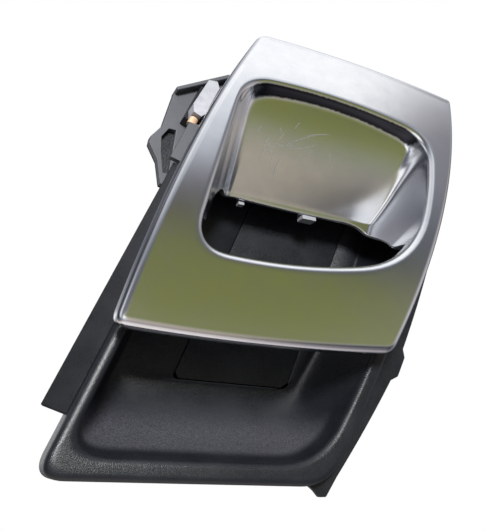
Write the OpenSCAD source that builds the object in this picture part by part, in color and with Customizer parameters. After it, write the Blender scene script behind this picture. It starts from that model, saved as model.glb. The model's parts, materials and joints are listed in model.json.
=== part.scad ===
// Interior door handle of a car: a satin plate with a finger scoop, hinged
// along its top on a black moulded pocket.
// The handle is drawn face up: x runs along the hinge, y up the plate and z
// out towards the hand. It is then stood upright, with its face towards -Y.

/* [Plate] */
// Width of the plate along the hinge
plate_w = 104; // [98:1:110]
// Height of the plate
plate_h = 133; // [130:1:140]
// Lean of the sides away from square, in degrees
slant = 21.3; // [19:0.5:24]
// Height of the plate's top edge above the rim of the pocket
plate_top_z = 1.8; // [1.2:0.2:3]
// Height of the plate's bottom edge above the rim of the pocket
plate_bottom_z = 13.9; // [12:0.5:17]
// Rise of the crowned plate above the line between those edges
crown = 6.4; // [5:0.2:8]
// Outward bow of the two sides in plan
side_bow = 5; // [3:0.5:6]
// Outward bow of the bottom edge in plan
end_bow = 1.9; // [1:0.1:3]
// Wall of the satin shell
shell_t = 2; // [1.8:0.1:2.2]
// Radius of the rolled edges
roll_r = 3; // [2.8:0.1:3.6]
// Depth of the skirt below the plate's outer edge
skirt = 5; // [4.6:0.2:6]

/* [Finger opening] */
// Lower edge of the opening, down from the plate's top edge
open_bottom = 104; // [102:1:106]
// Upper edge of the opening, down from the plate's top edge
open_top = 31; // [30:1:33]
// Upward bow of the opening's top edge
open_bow = 4.5; // [3:0.5:5]
// Lower edge of the scoop, down from the plate's top edge
scoop_bottom = 69; // [67:1:71]
// Depth of the scoop's lower edge below the rim of the pocket
scoop_depth = 10; // [9:0.5:11]
// Fall of the scoop's floor from its top to its lower edge
scoop_fall = 13; // [12:0.5:14]
// Steepness of the scoop's walls, in degrees; the right wall is steeper, the left one less
scoop_wall = 64; // [61:1:67]
// Depth of the short lip below the opening's rolled edge
lip = 2.5; // [2:0.1:3]

/* [Pocket] */
// Lowest edge of the pocket, down from the plate's top edge
tray_h = 178.9; // [176:1:184]
// Depth of the pocket's floor below its rim
tray_depth = 31; // [30.6:0.2:34]
// Wall of the moulded pocket
tray_t = 2; // [1.8:0.1:2.2]
// Width of the pocket's left rim
rim_left = 5; // [4.8:0.1:6]
// Width of the pocket's right rim
rim_right = 7; // [6.5:0.5:8]
// Width of the pocket's bottom rim
rim_bottom = 7.4; // [7:0.2:9]
// Length of the ramp from the floor up to the bottom rim
ramp = 27; // [24:1:29]
// Lean of the pocket's walls from rim to floor
draft = 3.5; // [3:0.5:4.5]

/* [Hinge] */
// Hinge axis, down from the plate's top edge
hinge_down = 14; // [13.8:0.1:15]
// Hinge axis, in from the rim of the pocket
hinge_in = 12; // [11.8:0.1:12.5]
// Radius of the hinge pin
pin_r = 2; // [1.8:0.1:2.1]
// Radial clearance of the pin in its bores
pin_gap = 0.05; // [0.03:0.01:0.08]
// Thickness of the two hinge webs of the pocket
web_t = 4; // [3.6:0.2:4.4]
// Left hinge web, right from the plate's top left corner
web_left = 12; // [11:0.5:13]
// Right hinge web's outer face, left from the plate's top right corner
web_right_in = 16; // [15:1:18]
// Radius of the round bosses at the hinge
boss_r = 5.5; // [5.2:0.1:5.8]
// Wall of the two bushes
bush_t = 1; // [0.8:0.1:1.2]
// Thickness of the bushes' flanges
flange_t = 0.7; // [0.5:0.1:0.9]

/* [Return spring] */
// Radius of the spring's wire
wire_r = 0.6; // [0.5:0.05:0.65]
// Radius of the coil to the middle of the wire
coil_r = 3.6; // [3.5:0.1:3.9]
// Turns of the coil
coil_turns = 6; // [5:1:7]

/* [Fixing] */
// Middle of the screw cover, down from the plate's top edge
cover_mid = 102; // [100:1:103]
// Width of the screw cover
cover_w = 49.5; // [46:0.5:52]
// Height of the screw cover
cover_h = 80; // [76:1:82]
// Thickness of the screw cover
cover_t = 2; // [1.6:0.2:2.4]
// Thickness of the block behind the screw cover
seat_t = 7; // [6.6:0.2:9]
// Radius of the fixing screw's shank
screw_r = 3; // [2.5:0.1:3.2]
// Length of the screw that stands out at the back
screw_out = 14; // [12:1:18]
// Upper peg at the back, down from the plate's top edge
peg_down = 58; // [56:1:60]
// Lower peg at the back, up from the pocket's lowest edge
peg_up = 16.9; // [15.9:0.5:18.9]
// Radius of the pegs
peg_r = 2.5; // [2:0.1:3]

/* [Hidden] */
$fn = 40;

fit = 0.3;            // gap between parts that don't touch
slip = 0.02;          // gap of a part pushed into its hole
cut = 1;              // overrun of a cut beyond the face that it opens
lean = tan(slant);
hinge_y = -hinge_down;
hinge_z = -hinge_in;
floor_z = -tray_depth;
tray_top = -1;
top_rim = 5;
seat_z = floor_z - seat_t;
fix_y = -cover_mid;
fix_x = plate_w - 41.7 + lean * fix_y;

black = "#1c1d20";
satin = "#a9abae";
grey = "#6f7176";
steel = "#8b8e92";

// Slanted position: across is measured square to the page from the leaning left side
function lx(across, y) = across + lean * y;
function at(across, y) = [lx(across, y), y];
function mix(a, b, t) = a + (b - a) * t;
function clamp01(t) = max(0, min(1, t));
function ease(t) = let(c = clamp01(t)) c * c * (3 - 2 * c);
function unit(v) = v / norm(v);
function mean(v) = [for (s = v) 1] * v / len(v);
function soft_max(a, b, k) = max(a, b) + k / 4 * pow(max(0, 1 - abs(a - b) / k), 2);
function soft_min(a, b, k) = -soft_max(-a, -b, k);
function cross2(a, b) = a[0] * b[1] - a[1] * b[0];
function meet(p, d, q, e) = p + d * cross2(q - p, e) / cross2(d, e);

// A side of an outline: a chord from a to b, bowed outwards
function bowed(a, b, bow, u) =
    let(d = b - a, n = [d[1], -d[0]] / norm(d)) a + d * u + n * bow * 4 * u * (1 - u);
function bowed_dir(a, b, bow, u) =
    let(d = b - a, n = [d[1], -d[0]] / norm(d)) d + n * bow * 4 * (1 - 2 * u);

// An outline through four corners in the order bottom left, bottom right, top
// right, top left. Each corner is rounded over its own length along the sides.
CORNER_STEPS = 5;
SIDE_STEPS = [10, 9, 10, 9];
function outline(c, bows, rounds, steps = SIDE_STEPS) = [for (k = [0:3])
    let(
        a = c[k], b = c[(k + 1) % 4], e = c[(k + 2) % 4],
        from = rounds[k] / norm(b - a),
        to = 1 - rounds[(k + 1) % 4] / norm(b - a),
        next = rounds[(k + 1) % 4] / norm(e - b),
        p = bowed(a, b, bows[k], to),
        q = bowed(b, e, bows[(k + 1) % 4], next),
        v = meet(p, bowed_dir(a, b, bows[k], to), q, bowed_dir(b, e, bows[(k + 1) % 4], next)),
        side = [for (s = [0:steps[k]]) bowed(a, b, bows[k], mix(from, to, s / steps[k]))],
        turn = [for (s = [1:CORNER_STEPS - 1]) let(t = s / CORNER_STEPS)
            p * (1 - t) * (1 - t) + v * 2 * t * (1 - t) + q * t * t]
    ) each concat(side, turn)];

// Outward normals of a closed plan outline
function plan_normals(loop) = let(n = len(loop)) [for (i = [0:n - 1])
    let(d = loop[(i + 1) % n] - loop[(i + n - 1) % n]) unit([d[1], -d[0]])];

// The back of a formed sheet: each point of a grid goes in by t, square to the sheet
function normal_at(g, i, j) =
    let(
        n = len(g), m = len(g[0]) - 1,
        along = g[(i + 1) % n][j] - g[(i + n - 1) % n][j],
        across = g[i][min(m, j + 1)] - g[i][max(0, j - 1)]
    ) unit(cross(along, across));
function backed(g, t) = [for (i = [0:len(g) - 1]) [for (j = [0:len(g[0]) - 1])
    g[i][j] - normal_at(g, i, j) * t]];

// A closed shell from a grid and its back. A ring is open in its middle, a dish is closed.
module sheet(grid, t, ring = true) {
    back = backed(grid, t);
    n = len(grid);
    m = len(grid[0]);
    loop = 2 * m;
    middle = ring ? [] : [mean([for (r = grid) r[m - 1]]), mean([for (r = back) r[m - 1]])];
    points = concat([for (i = [0:n - 1]) each concat(grid[i], [for (j = [m - 1:-1:0]) back[i][j]])], middle);
    walls = [for (i = [0:n - 1]) for (j = [0:loop - 1]) if (ring || j != m - 1)
        let(
            a = i * loop + j,
            b = i * loop + (j + 1) % loop,
            c = ((i + 1) % n) * loop + (j + 1) % loop,
            d = ((i + 1) % n) * loop + j
        ) each [[a, b, c], [a, c, d]]];
    caps = ring ? [] : [for (i = [0:n - 1]) let(a = i * loop + m - 1, b = ((i + 1) % n) * loop + m - 1)
        each [[a, n * loop, b], [a + 1, b + 1, n * loop + 1]]];
    polyhedron(points = points, faces = concat(walls, caps), convexity = 10);
}

// A plate across the hinge, from a profile of [y, z] points
module across(x, w) {
    translate([x, 0, 0]) rotate([90, 0, 90]) linear_extrude(w) children();
}

// A round bar along the hinge
module bar(x, w, y, z, r) {
    translate([x, y, z]) rotate([0, 90, 0]) cylinder(h = w, r = r);
}

// A frame along the leaning side: x is square to it and y runs up it
module leaning(across, y) {
    translate([lx(across, y), y, 0]) rotate([0, 0, -slant]) children();
}

// Satin shell
function face_z(y) = let(u = -y / plate_h)
    mix(plate_top_z, plate_bottom_z, u) + 4 * crown * u * (1 - u);
// The scoop's floor bulges: it falls away faster towards its lower edge
function scoop_z(y) = let(t = max(0, (y + scoop_bottom) / (scoop_bottom - open_top - 6)))
    -scoop_depth + scoop_fall * (0.5 * t + 0.5 * (1 - (1 - t) * (1 - t)));

// The opening's corners before they are rounded
OPEN = [[-27.5, -open_bottom], [plate_w - 42.5, 10 - open_bottom],
    [plate_w - 24.5, -open_top - 2], [-8.5, -open_top]];
OPEN_BOWS = [4.5, 3, open_bow, 0.6];
OPEN_ROUNDS = [12, 24, 13, 12];
// Where the shell ends inside: the scoop's lower edge, then the opening's own edge
SHELL_END = [OPEN[0], OPEN[1], [plate_w - 41, -scoop_bottom - 1], [-13, -scoop_bottom - 0.5]];
SHELL_END_BOWS = [4.5, 1, -1, 0];
WALL_SPREAD = 6;

function line_gap(p, a, b) = cross2(b - a, p - a) / norm(b - a);
function wall_gap(p) = soft_min(line_gap(p, OPEN[1], OPEN[2]),
    soft_min(line_gap(p, OPEN[2], OPEN[3]), line_gap(p, OPEN[3], OPEN[0]), 5), 5);

ROLL_STEPS = 4;
FACE_STEPS = 4;
SCOOP_STEPS = 9;
module lever_shell() {
    outer = outline(
        [at(0, -plate_h - 0.5), at(plate_w, 1.8 - plate_h), [plate_w, -0.5], [0, 0]],
        [end_bow, side_bow, 3, side_bow], [5, 4, 4, 4]);
    outer_n = plan_normals(outer);
    inner = outline(OPEN, OPEN_BOWS, OPEN_ROUNDS);
    inner_n = plan_normals(inner);
    below = outline(SHELL_END, SHELL_END_BOWS, OPEN_ROUNDS);
    // The bottom and its right corner end at the opening itself. From there a curve cuts
    // across the right wall to the scoop's lower edge.
    leave = SIDE_STEPS[0] + round(CORNER_STEPS * 2 / 3);
    join = SIDE_STEPS[0] + SIDE_STEPS[1] + 2 * CORNER_STEPS;
    cut_mid = [plate_w - 38, below[join][1] - 0.5];
    end = [for (i = [0:len(inner) - 1])
        i <= leave ? inner[i] :
        i >= join ? below[i] :
        let(t = (i - leave) / (join - leave))
            inner[leave] * (1 - t) * (1 - t) + cut_mid * 2 * t * (1 - t) + below[join] * t * t];
    grid = [for (i = [0:len(outer) - 1])
        let(
            o = outer[i], on = outer_n[i], q = inner[i], qn = inner_n[i],
            reach = norm(end[i] - q),
            steep = scoop_wall + WALL_SPREAD * qn[0],
            fillet = 8.5 - 3.5 * qn[0] - 5.5 * ease((qn[1] - 0.4) / 0.5),
            turn = mix(90, steep, ease(reach / 4)),
            top = o - on * roll_r,
            rim = q + qn * roll_r,
            drop = roll_r * (1 - cos(turn)),
            base = face_z(rim[1]) - drop,
            start = rim - qn * roll_r * sin(turn)
        )
        concat(
            [[o[0], o[1], face_z(o[1]) - skirt]],
            [for (s = [0:ROLL_STEPS - 1]) let(
                a = 90 * (1 - s / ROLL_STEPS), p = o - on * roll_r * (1 - sin(a)))
                [p[0], p[1], face_z(top[1]) - roll_r * (1 - cos(a))]],
            [for (s = [0:FACE_STEPS - 1]) let(p = mix(top, rim, s / FACE_STEPS))
                [p[0], p[1], face_z(p[1])]],
            [for (s = [0:ROLL_STEPS - 1]) let(
                a = turn * s / ROLL_STEPS, p = rim - qn * roll_r * sin(a))
                [p[0], p[1], face_z(rim[1]) - roll_r * (1 - cos(a))]],
            [for (s = [0:SCOOP_STEPS]) let(
                f = s / SCOOP_STEPS,
                p = mix(start, mix(start, end[i], ease(reach / 4)), f),
                gone = max(0, wall_gap(p) - wall_gap(start)),
                wall = base - tan(steep) * gone)
                [p[0], p[1], min(base, soft_max(scoop_z(p[1]), wall, fillet)) - lip * f]]
        )];
    color(satin) difference() {
        union() {
            sheet(grid, shell_t);
            for (x = shell_boss_x) translate([x, shell_boss_y, 0])
                cylinder(h = face_z(shell_boss_y) - shell_t + 0.8, r = shell_boss_r);
        }
        for (x = shell_boss_x) translate([x, shell_boss_y, -cut])
            cylinder(h = cut + shell_boss_depth, r = tap_r);
    }
}

// Lever carrier and what it holds
web_right = plate_w - web_right_in;
shell_boss_x = [web_left + 20, web_right - 20];
shell_boss_y = -21;
shell_boss_r = 3.5;
shell_boss_depth = 4;
tap_r = 1.25;
screw_head_r = 3;
screw_head_t = 1.8;
ear_t = 4;
ear_left = web_left + web_t + fit + flange_t;
ear_right = web_right - web_t - fit - flange_t - ear_t;
bush_r = pin_r + pin_gap + bush_t;
carrier_t = 3;
carrier_from = -17.5;
carrier_to = -scoop_bottom + 2.5;
ear_to = -33;
panel_left = -2;
panel_right = plate_w - 44;
arm_t = 3;
arm_x = ear_left + ear_t;
arm_len = 12;
eye_r = 2;
rivet_y = hinge_y - 10;
rivet_z = hinge_z + 4;
rivet_r = 1.5;
// Top of the carrier's pan, which keeps below the scoop's floor all the way down
function carrier_z(y) = let(t = max(0, (y + scoop_bottom) / (scoop_bottom - open_top - 6)))
    min(0, scoop_fall * pow(t, 1.15) - scoop_depth - lip * 0.6 - shell_t - 0.9);

module carrier_section(from, to) {
    steps = ceil((from - to) / 3);
    ys = [for (s = [0:steps]) mix(from, to, s / steps)];
    polygon(concat([for (y = ys) [y, carrier_z(y)]],
        [for (s = [steps:-1:0]) [ys[s], carrier_z(ys[s]) - carrier_t]]));
}

module ear_section() {
    translate([hinge_y, hinge_z]) circle(r = boss_r);
    polygon([[hinge_y + 3.6, hinge_z + 4], [carrier_from, carrier_z(carrier_from)],
        [ear_to, carrier_z(ear_to)], [ear_to, carrier_z(ear_to) - carrier_t],
        [hinge_y - 8, hinge_z], [hinge_y - 2, hinge_z - 4.5]]);
}

tab_x = 28.8;
tab_w = 6.5;
tab_t = 2.6;
hook_x = 0;
hook_w = 2.4;
spring_hook_w = 4;
module lever_carrier() {
    edge = carrier_z(carrier_to) - 1;
    color(grey) difference() {
        union() {
            across(ear_left, ear_right + ear_t - ear_left) carrier_section(carrier_from, ear_to);
            across(panel_left, panel_right - panel_left) carrier_section(ear_to, carrier_to);
            across(ear_left, ear_t) ear_section();
            across(ear_right, ear_t) ear_section();
            // Snap tab and small hook that catch the scoop's lower edge
            translate([tab_x, carrier_to - 6.4, edge - tab_t]) cube([tab_w, 6.9, tab_t]);
            translate([tab_x, carrier_to - 6.4, edge - tab_t]) cube([tab_w, 1.6, tab_t + 2]);
            translate([hook_x, carrier_to - 5.4, edge - tab_t]) cube([hook_w, 5.9, tab_t]);
            // Stiffening ribs behind the scoop
            for (x = [10, 28, 46]) across(x, 1.6) polygon([[ear_to, carrier_z(ear_to) - 1],
                [ear_to, carrier_z(ear_to) - 7], [carrier_to + 6, carrier_z(carrier_to + 6) - 3.5],
                [carrier_to + 6, carrier_z(carrier_to + 6) - 1]]);
            // Hook that takes the moving leg of the spring
            across(leg_x - spring_hook_w / 2, spring_hook_w) polygon([[hinge_y - 15, -1],
                [hinge_y - 15, leg_z - wire_r - fit - 2], [hinge_y - 9, leg_z - wire_r - fit - 2],
                [hinge_y - 9, leg_z - wire_r - fit], [hinge_y - 13, leg_z - wire_r - fit],
                [hinge_y - 13, -1]]);
        }
        for (x = [ear_left, ear_right]) bar(x - cut, ear_t + 2 * cut, hinge_y, hinge_z, bush_r + slip);
        for (x = shell_boss_x) translate([x, shell_boss_y, 0]) {
            translate([0, 0, -carrier_t - cut]) cylinder(h = carrier_t + 2 * cut, r = tap_r + 0.3);
            // Spot face under the screw's head
            translate([0, 0, -2 * carrier_t]) cylinder(h = carrier_t, r = screw_head_r + fit);
        }
        bar(ear_left - cut, ear_t + 2 * cut, rivet_y, rivet_z, rivet_r + slip);
    }
}

module carrier_screws() {
    color(steel) for (x = shell_boss_x) translate([x, shell_boss_y, 0]) {
        translate([0, 0, -carrier_t - screw_head_t]) difference() {
            cylinder(h = screw_head_t, r = screw_head_r);
            translate([0, 0, -cut]) cylinder(h = cut + 1, r = 1.5, $fn = 6);
        }
        translate([0, 0, -carrier_t - 0.1]) cylinder(h = carrier_t + 3.4, r = tap_r - slip);
    }
}

module bush(x, out) {
    color("#d9d6cc") difference() {
        union() {
            bar(x, ear_t, hinge_y, hinge_z, bush_r);
            bar(out > 0 ? x + ear_t : x - flange_t, flange_t, hinge_y, hinge_z, bush_r + 1.4);
        }
        bar(x - flange_t - cut, ear_t + 2 * (flange_t + cut), hinge_y, hinge_z, pin_r + pin_gap);
    }
}
module left_bush() {
    bush(ear_left, -1);
}
module right_bush() {
    bush(ear_right, 1);
}

module cable_arm() {
    color(steel) difference() {
        union() {
            bar(arm_x, arm_t, hinge_y, hinge_z, boss_r - 0.5);
            bar(arm_x, arm_t, hinge_y, hinge_z - arm_len, eye_r + 2);
            bar(arm_x, arm_t, rivet_y, rivet_z, rivet_r + 2);
            across(arm_x, arm_t) polygon([[hinge_y - 4.6, hinge_z - 1], [hinge_y - 3.6, hinge_z - arm_len],
                [hinge_y + 3.6, hinge_z - arm_len], [hinge_y + 4.6, hinge_z - 1]]);
            across(arm_x, arm_t) polygon([[hinge_y - 1, hinge_z - 4.4], [rivet_y - 1.5, rivet_z - 2.9],
                [rivet_y + 1, rivet_z + 3.1], [hinge_y + 1, hinge_z + 4.4]]);
        }
        bar(arm_x - cut, arm_t + 2 * cut, hinge_y, hinge_z, pin_r + 0.09);
        bar(arm_x - cut, arm_t + 2 * cut, hinge_y, hinge_z - arm_len, eye_r);
        bar(arm_x - cut, arm_t + 2 * cut, rivet_y, rivet_z, rivet_r + slip);
    }
}

module arm_rivet() {
    color(steel) {
        bar(ear_left - 0.8, ear_t + arm_t + 1.6, rivet_y, rivet_z, rivet_r);
        bar(ear_left - 1, 1, rivet_y, rivet_z, rivet_r + 1);
        bar(arm_x + arm_t, 1, rivet_y, rivet_z, rivet_r + 1);
    }
}

// Hinge pin, its clip and the return spring
clip_t = 0.8;
module hinge_pin() {
    color(steel) difference() {
        union() {
            bar(web_left - 1.6, 1.6, hinge_y, hinge_z, pin_r + 1.5);
            bar(web_left - 1, web_right - web_left + 3, hinge_y, hinge_z, pin_r);
        }
        difference() {
            bar(web_right + 0.1, clip_t + 0.2, hinge_y, hinge_z, pin_r + cut);
            bar(web_right, clip_t + 0.4, hinge_y, hinge_z, pin_r - 0.5);
        }
    }
}

module pin_clip() {
    color(steel) across(web_right + 0.2, clip_t) difference() {
        translate([hinge_y, hinge_z]) circle(r = pin_r + 2);
        translate([hinge_y, hinge_z]) circle(r = pin_r - 0.5 + slip);
        translate([hinge_y - pin_r + 0.6, hinge_z - pin_r - 3]) square([2 * pin_r - 1.2, pin_r + 3]);
    }
}

coil_pitch = 2 * wire_r + 0.5;
coil_x = 44;
leg_x = coil_x;
leg_z = hinge_z - coil_r;
WIRE_SIDES = 8;
RINGS_PER_TURN = 14;
LEG_MOVING = 12.5;
module return_spring() {
    sweep_deg = 360 * coil_turns - 90;
    rings = ceil(RINGS_PER_TURN * sweep_deg / 360);
    leg_fixed = hinge_z - floor_z - fit;
    function ring(deg, run, back) = let(
        a = 270 + deg,
        out = [0, cos(a), sin(a)],
        ahead = [0, -sin(a), cos(a)],
        mid = [coil_x + coil_pitch * deg / 360, hinge_y, hinge_z] + coil_r * out + ahead * run)
        [for (s = [0:WIRE_SIDES - 1]) let(t = 360 * s / WIRE_SIDES)
            mid + wire_r * (cos(t) * out + sin(t) * [1, 0, 0])];
    path = concat(
        [ring(0, -LEG_MOVING)],
        [for (s = [0:rings]) ring(sweep_deg * s / rings, 0)],
        [ring(sweep_deg, leg_fixed)]);
    n = len(path);
    color(steel) polyhedron(
        points = [for (r = path) each r],
        faces = concat(
            [[for (s = [0:WIRE_SIDES - 1]) s]],
            [[for (s = [WIRE_SIDES - 1:-1:0]) (n - 1) * WIRE_SIDES + s]],
            [for (i = [0:n - 2]) for (s = [0:WIRE_SIDES - 1]) let(
                a = i * WIRE_SIDES + s, b = i * WIRE_SIDES + (s + 1) % WIRE_SIDES)
                each [[a, a + WIRE_SIDES, b + WIRE_SIDES], [a, b + WIRE_SIDES, b]]]),
        convexity = 10);
}

// Housing: rim, pocket, hinge webs and flanges
tray_left = 2.9;
tray_right = plate_w + 0.9;
// The right side bows out, and starts further in at its lower end
tray_bow = 9;
tray_pull = 2;
tray_round = 9;
mouth_round = 14;
rim_r = 2.6;
tray_skirt = 12;
mouth_drop = 4;
floor_fillet = 4;
flat_edge = 3;
WALL_STEPS = 6;
TRAY_STEPS = [3, 9, 3, 9];
// The rim drops near the hinge, where the plate's top edge swings in
rim_low = 12;
function rim_scale(y) = mix(1, (tray_depth - rim_low) / tray_depth, ease((y + 16) / 11));
function tray_loop(left, right, top, bottom, r) = outline(
    [at(tray_left + left, bottom - tray_h), at(tray_right - tray_pull - right, bottom - tray_h),
        at(tray_right - right, tray_top - top), at(tray_left + left, tray_top - top)],
    [0, tray_bow, 0, 0], [r, r * 1.2, r * 0.5, r * 0.5], TRAY_STEPS);
function inset_loop(d) = tray_loop(d, d, d, d, tray_round);
function mouth_loop(wall, foot, r) = tray_loop(rim_left + wall, rim_right + wall, top_rim + wall,
    rim_bottom + foot, r);

function tray_rows() = concat(
    [[inset_loop(0), -tray_skirt]],
    [for (s = [0:3]) let(a = 90 * (1 - s / 3)) [inset_loop(rim_r * (1 - sin(a))), -rim_r * (1 - cos(a))]],
    [for (s = [0:3]) let(a = 90 * s / 3)
        [mouth_loop(-rim_r * (1 - sin(a)) * 0.8, -rim_r * (1 - sin(a)), mouth_round), -rim_r * (1 - cos(a))]],
    [for (s = [0:WALL_STEPS]) let(
        a = 90 * s / WALL_STEPS,
        wall = draft * sin(a) + floor_fillet * (1 - cos(a)),
        foot = ramp * (0.35 * sin(a) + 0.65 * (1 - cos(a))))
        [mouth_loop(wall, foot, mouth_round + foot * 0.25),
            mix(-mouth_drop, floor_z, sin(a))]],
    [[mouth_loop(draft + floor_fillet + flat_edge, ramp + flat_edge, mouth_round + ramp * 0.25), floor_z]]);

module tray() {
    rows = tray_rows();
    grid = [for (i = [0:len(rows[0][0]) - 1]) [for (row = rows)
        let(p = row[0][i]) [p[0], p[1], floor_z + (row[1] - floor_z) * rim_scale(p[1])]]];
    sheet(grid, tray_t, ring = false);
}

module cover_plan(grow) {
    offset_x = cover_w / 2 + grow;
    half = cover_h / 2 + grow;
    r = 2.5 + grow;
    translate([fix_x, fix_y]) polygon([
        for (c = [[-1, -1], [1, -1], [1, 1], [-1, 1]])
        let(v = [c[0] * offset_x + lean * c[1] * half, c[1] * half])
        for (s = c[0] * c[1] > 0 ? [0, 1] : [1, 0])
        v - (s == 0 ? [lean * c[1] * r, c[1] * r] : [c[0] * r, 0])
    ]);
}

shoulder_r = screw_r + 0.8;
well_r = 9;
well_depth = 3;
recess_z = floor_z - cover_t;
buffer_r = 1.8;
buffer_stem = 1.2;
buffer_y = -20;
buffer_left = lx(tray_left + 2.5, buffer_y);
buffer_right = lx(tray_right - 3.1, buffer_y);
flange_z = -26;
flange_plate_t = 4;
strip_from = -66;
strip_to = 21.9 - tray_h;
strip_w = 12;
strip_tilt = 32;
clip_tab = [[4, -30], [62, -30]];
// Heights at which the pegs meet the back of the floor and of the ramp
pegs = [[-peg_down, floor_z - tray_t / 2], [peg_up - tray_h, floor_z + 7]];
tab_size = [10, 2, 12];
side_flange_t = 2;
side_flange_z = -9;

// Flange at the hinge end, with its lug and the window in it
module upper_flange() {
    difference() {
        translate([0, 0, flange_z]) linear_extrude(flange_plate_t)
            polygon([at(tray_left + 7.9, -7), [1.6, -5], [-28.7, -23.8], [-32.6, -41], [-37, -47],
                [-37.4, -50], [-33.4, -57], [-31.4, -67], at(tray_left + 7.9, -70)]);
        // Deep recess beside the lug
        translate([0, 0, flange_z + 1]) linear_extrude(flange_plate_t)
            polygon([[-29.5, -41.5], [-32.4, -46], [-32, -53], [-30.6, -62], [-28.4, -62], [-26.5, -41.5]]);
    }
    // Stiffening rib along the flange's free edge
    hull() for (p = [[-27.6, -24.2], [-5, -10.2]]) translate([p[0], p[1], flange_z])
        cylinder(h = flange_plate_t + 4, r = 1, $fn = 16);
}

// Tilted strip along the left side
module left_strip() {
    leaning(tray_left + 1.2, strip_to) translate([0, 0, -5]) rotate([0, -strip_tilt, 0])
        translate([-strip_w, 0, -1.8]) cube([strip_w, (strip_from - strip_to) / cos(slant), 1.8]);
}

// Flange along the bowed right side, with its tab and the toe at the corner
module right_flange() {
    a = at(tray_right - tray_pull, -tray_h);
    b = at(tray_right, tray_top);
    out = unit([(b - a)[1], (a - b)[0]]);
    function edge(u, d) = bowed(a, b, tray_bow, u) + out * d;
    function breadth(u) = mix(4.5, 9.5, clamp01((u - 0.03) / 0.25));
    us = [for (k = [0:12]) mix(0.03, 0.64, k / 12)];
    translate([0, 0, side_flange_z]) linear_extrude(side_flange_t) {
        polygon(concat([for (u = us) edge(u, breadth(u))], [for (k = [12:-1:0]) edge(us[k], -1)]));
        polygon([edge(0.28, 8), edge(0.28, 11.6), edge(0.34, 11.6), edge(0.34, 8)]);
        polygon([at(97.5, -tray_h + 0.5), at(101, -tray_h - 1.4), at(104, -tray_h - 3.6),
            at(107, -tray_h - 3.5), edge(0.03, 4.5), edge(0.03, -3)]);
    }
}

web_foot = 13;
module web_section() {
    translate([hinge_y, hinge_z]) circle(r = boss_r);
    polygon([[hinge_y + boss_r, hinge_z], [hinge_y + boss_r, floor_z - tray_t / 2],
        [hinge_y - web_foot, floor_z - tray_t / 2], [hinge_y - boss_r, hinge_z]]);
}

module housing() {
    color(black) difference() {
        union() {
            tray();
            translate([0, 0, seat_z]) linear_extrude(seat_t - tray_t / 4) cover_plan(4);
            across(web_left, web_t) web_section();
            across(web_right - web_t, web_t) web_section();
            // Rib that takes the fixed leg of the spring
            across(coil_x + coil_pitch * coil_turns - 5, 7) polygon([
                [hinge_y - coil_r - wire_r - fit, floor_z - 1], [hinge_y - coil_r - wire_r - fit, floor_z + 6],
                [hinge_y - coil_r - wire_r - fit - 2, floor_z + 6], [hinge_y - coil_r - wire_r - fit - 5, floor_z - 1]]);
            upper_flange();
            left_strip();
            right_flange();
            for (p = pegs) translate([lx(plate_w / 2, p[0]), p[0], 0]) {
                translate([0, 0, seat_z - 8]) cylinder(h = p[1] - seat_z + 8, r = peg_r);
                translate([0, 0, seat_z]) cylinder(h = p[1] - seat_z, r = peg_r + 2.5);
            }
            for (p = clip_tab) translate([p[0], p[1], floor_z - tray_t - tab_size[2] + 0.5]) cube(tab_size);
            // Ledge that carries the cable clip
            translate([cable_x - 8, tray_top - top_rim - 4.5, clip_z - 6]) cube([16, top_rim + 10, 3]);
        }
        translate([0, 0, recess_z]) linear_extrude(cover_t + cut) cover_plan(0);
        translate([fix_x, fix_y, recess_z - well_depth]) cylinder(h = well_depth + cut, r = well_r);
        translate([fix_x, fix_y, seat_z - cut]) cylinder(h = seat_t + cut, r = shoulder_r + fit);
        bar(web_left - cut, web_right - web_left + 2 * cut, hinge_y, hinge_z, pin_r + pin_gap);
        for (x = [buffer_left, buffer_right]) translate([x, buffer_y, -tray_t - 0.4])
            cylinder(h = tray_t + 0.4 + cut, r = buffer_stem + slip);
        // Way out for the cable through the top wall
        translate([cable_x - cable_r - 1, tray_top - 2 * top_rim, clip_z - 2])
            cube([2 * cable_r + 2, 2 * top_rim + 2, 2 * cable_r]);
        translate([bracket_screw_p[0], bracket_screw_p[1], flange_z - cut])
            cylinder(h = flange_plate_t + 2 * cut, r = 1.3);
    }
}

module screw_cover() {
    color(black) difference() {
        translate([0, 0, recess_z]) linear_extrude(cover_t) cover_plan(-fit);
        // Finger notch at the lower edge
        translate([fix_x - 4 - lean * cover_h / 2, fix_y - cover_h / 2 - cut, recess_z - cut])
            cube([8, cut + 1.5, cut + 0.8]);
    }
}

module main_screw() {
    head_z = recess_z - well_depth;
    color(steel) difference() {
        translate([fix_x, fix_y, 0]) {
            translate([0, 0, head_z]) cylinder(h = 2.6, r = 5.5);
            // The shoulder ends at the back face, and the thread stands out beyond it
            translate([0, 0, seat_z]) cylinder(h = head_z - seat_z + 0.1, r = shoulder_r);
            translate([0, 0, seat_z - screw_out]) cylinder(h = screw_out + 0.1, r = screw_r);
        }
        translate([fix_x, fix_y, head_z + 1]) cylinder(h = 2, r = 2, $fn = 6);
    }
}

seal_r = 14;
seal_bore = 8;
seal_t = 2;
module screw_seal() {
    color("#2b2b2d") translate([fix_x, fix_y, seat_z - seal_t]) difference() {
        cylinder(h = seal_t, r = seal_r);
        translate([0, 0, -cut]) cylinder(h = seal_t + 2 * cut, r = seal_bore);
    }
}

module buffer(x) {
    top = face_z(buffer_y) - shell_t - 0.8;
    color("#151515") translate([x, buffer_y, 0]) {
        cylinder(h = top, r = buffer_r);
        translate([0, 0, -1.9]) cylinder(h = 2, r = buffer_stem);
    }
}
module left_buffer() {
    buffer(buffer_left);
}
module right_buffer() {
    buffer(buffer_right);
}

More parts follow.
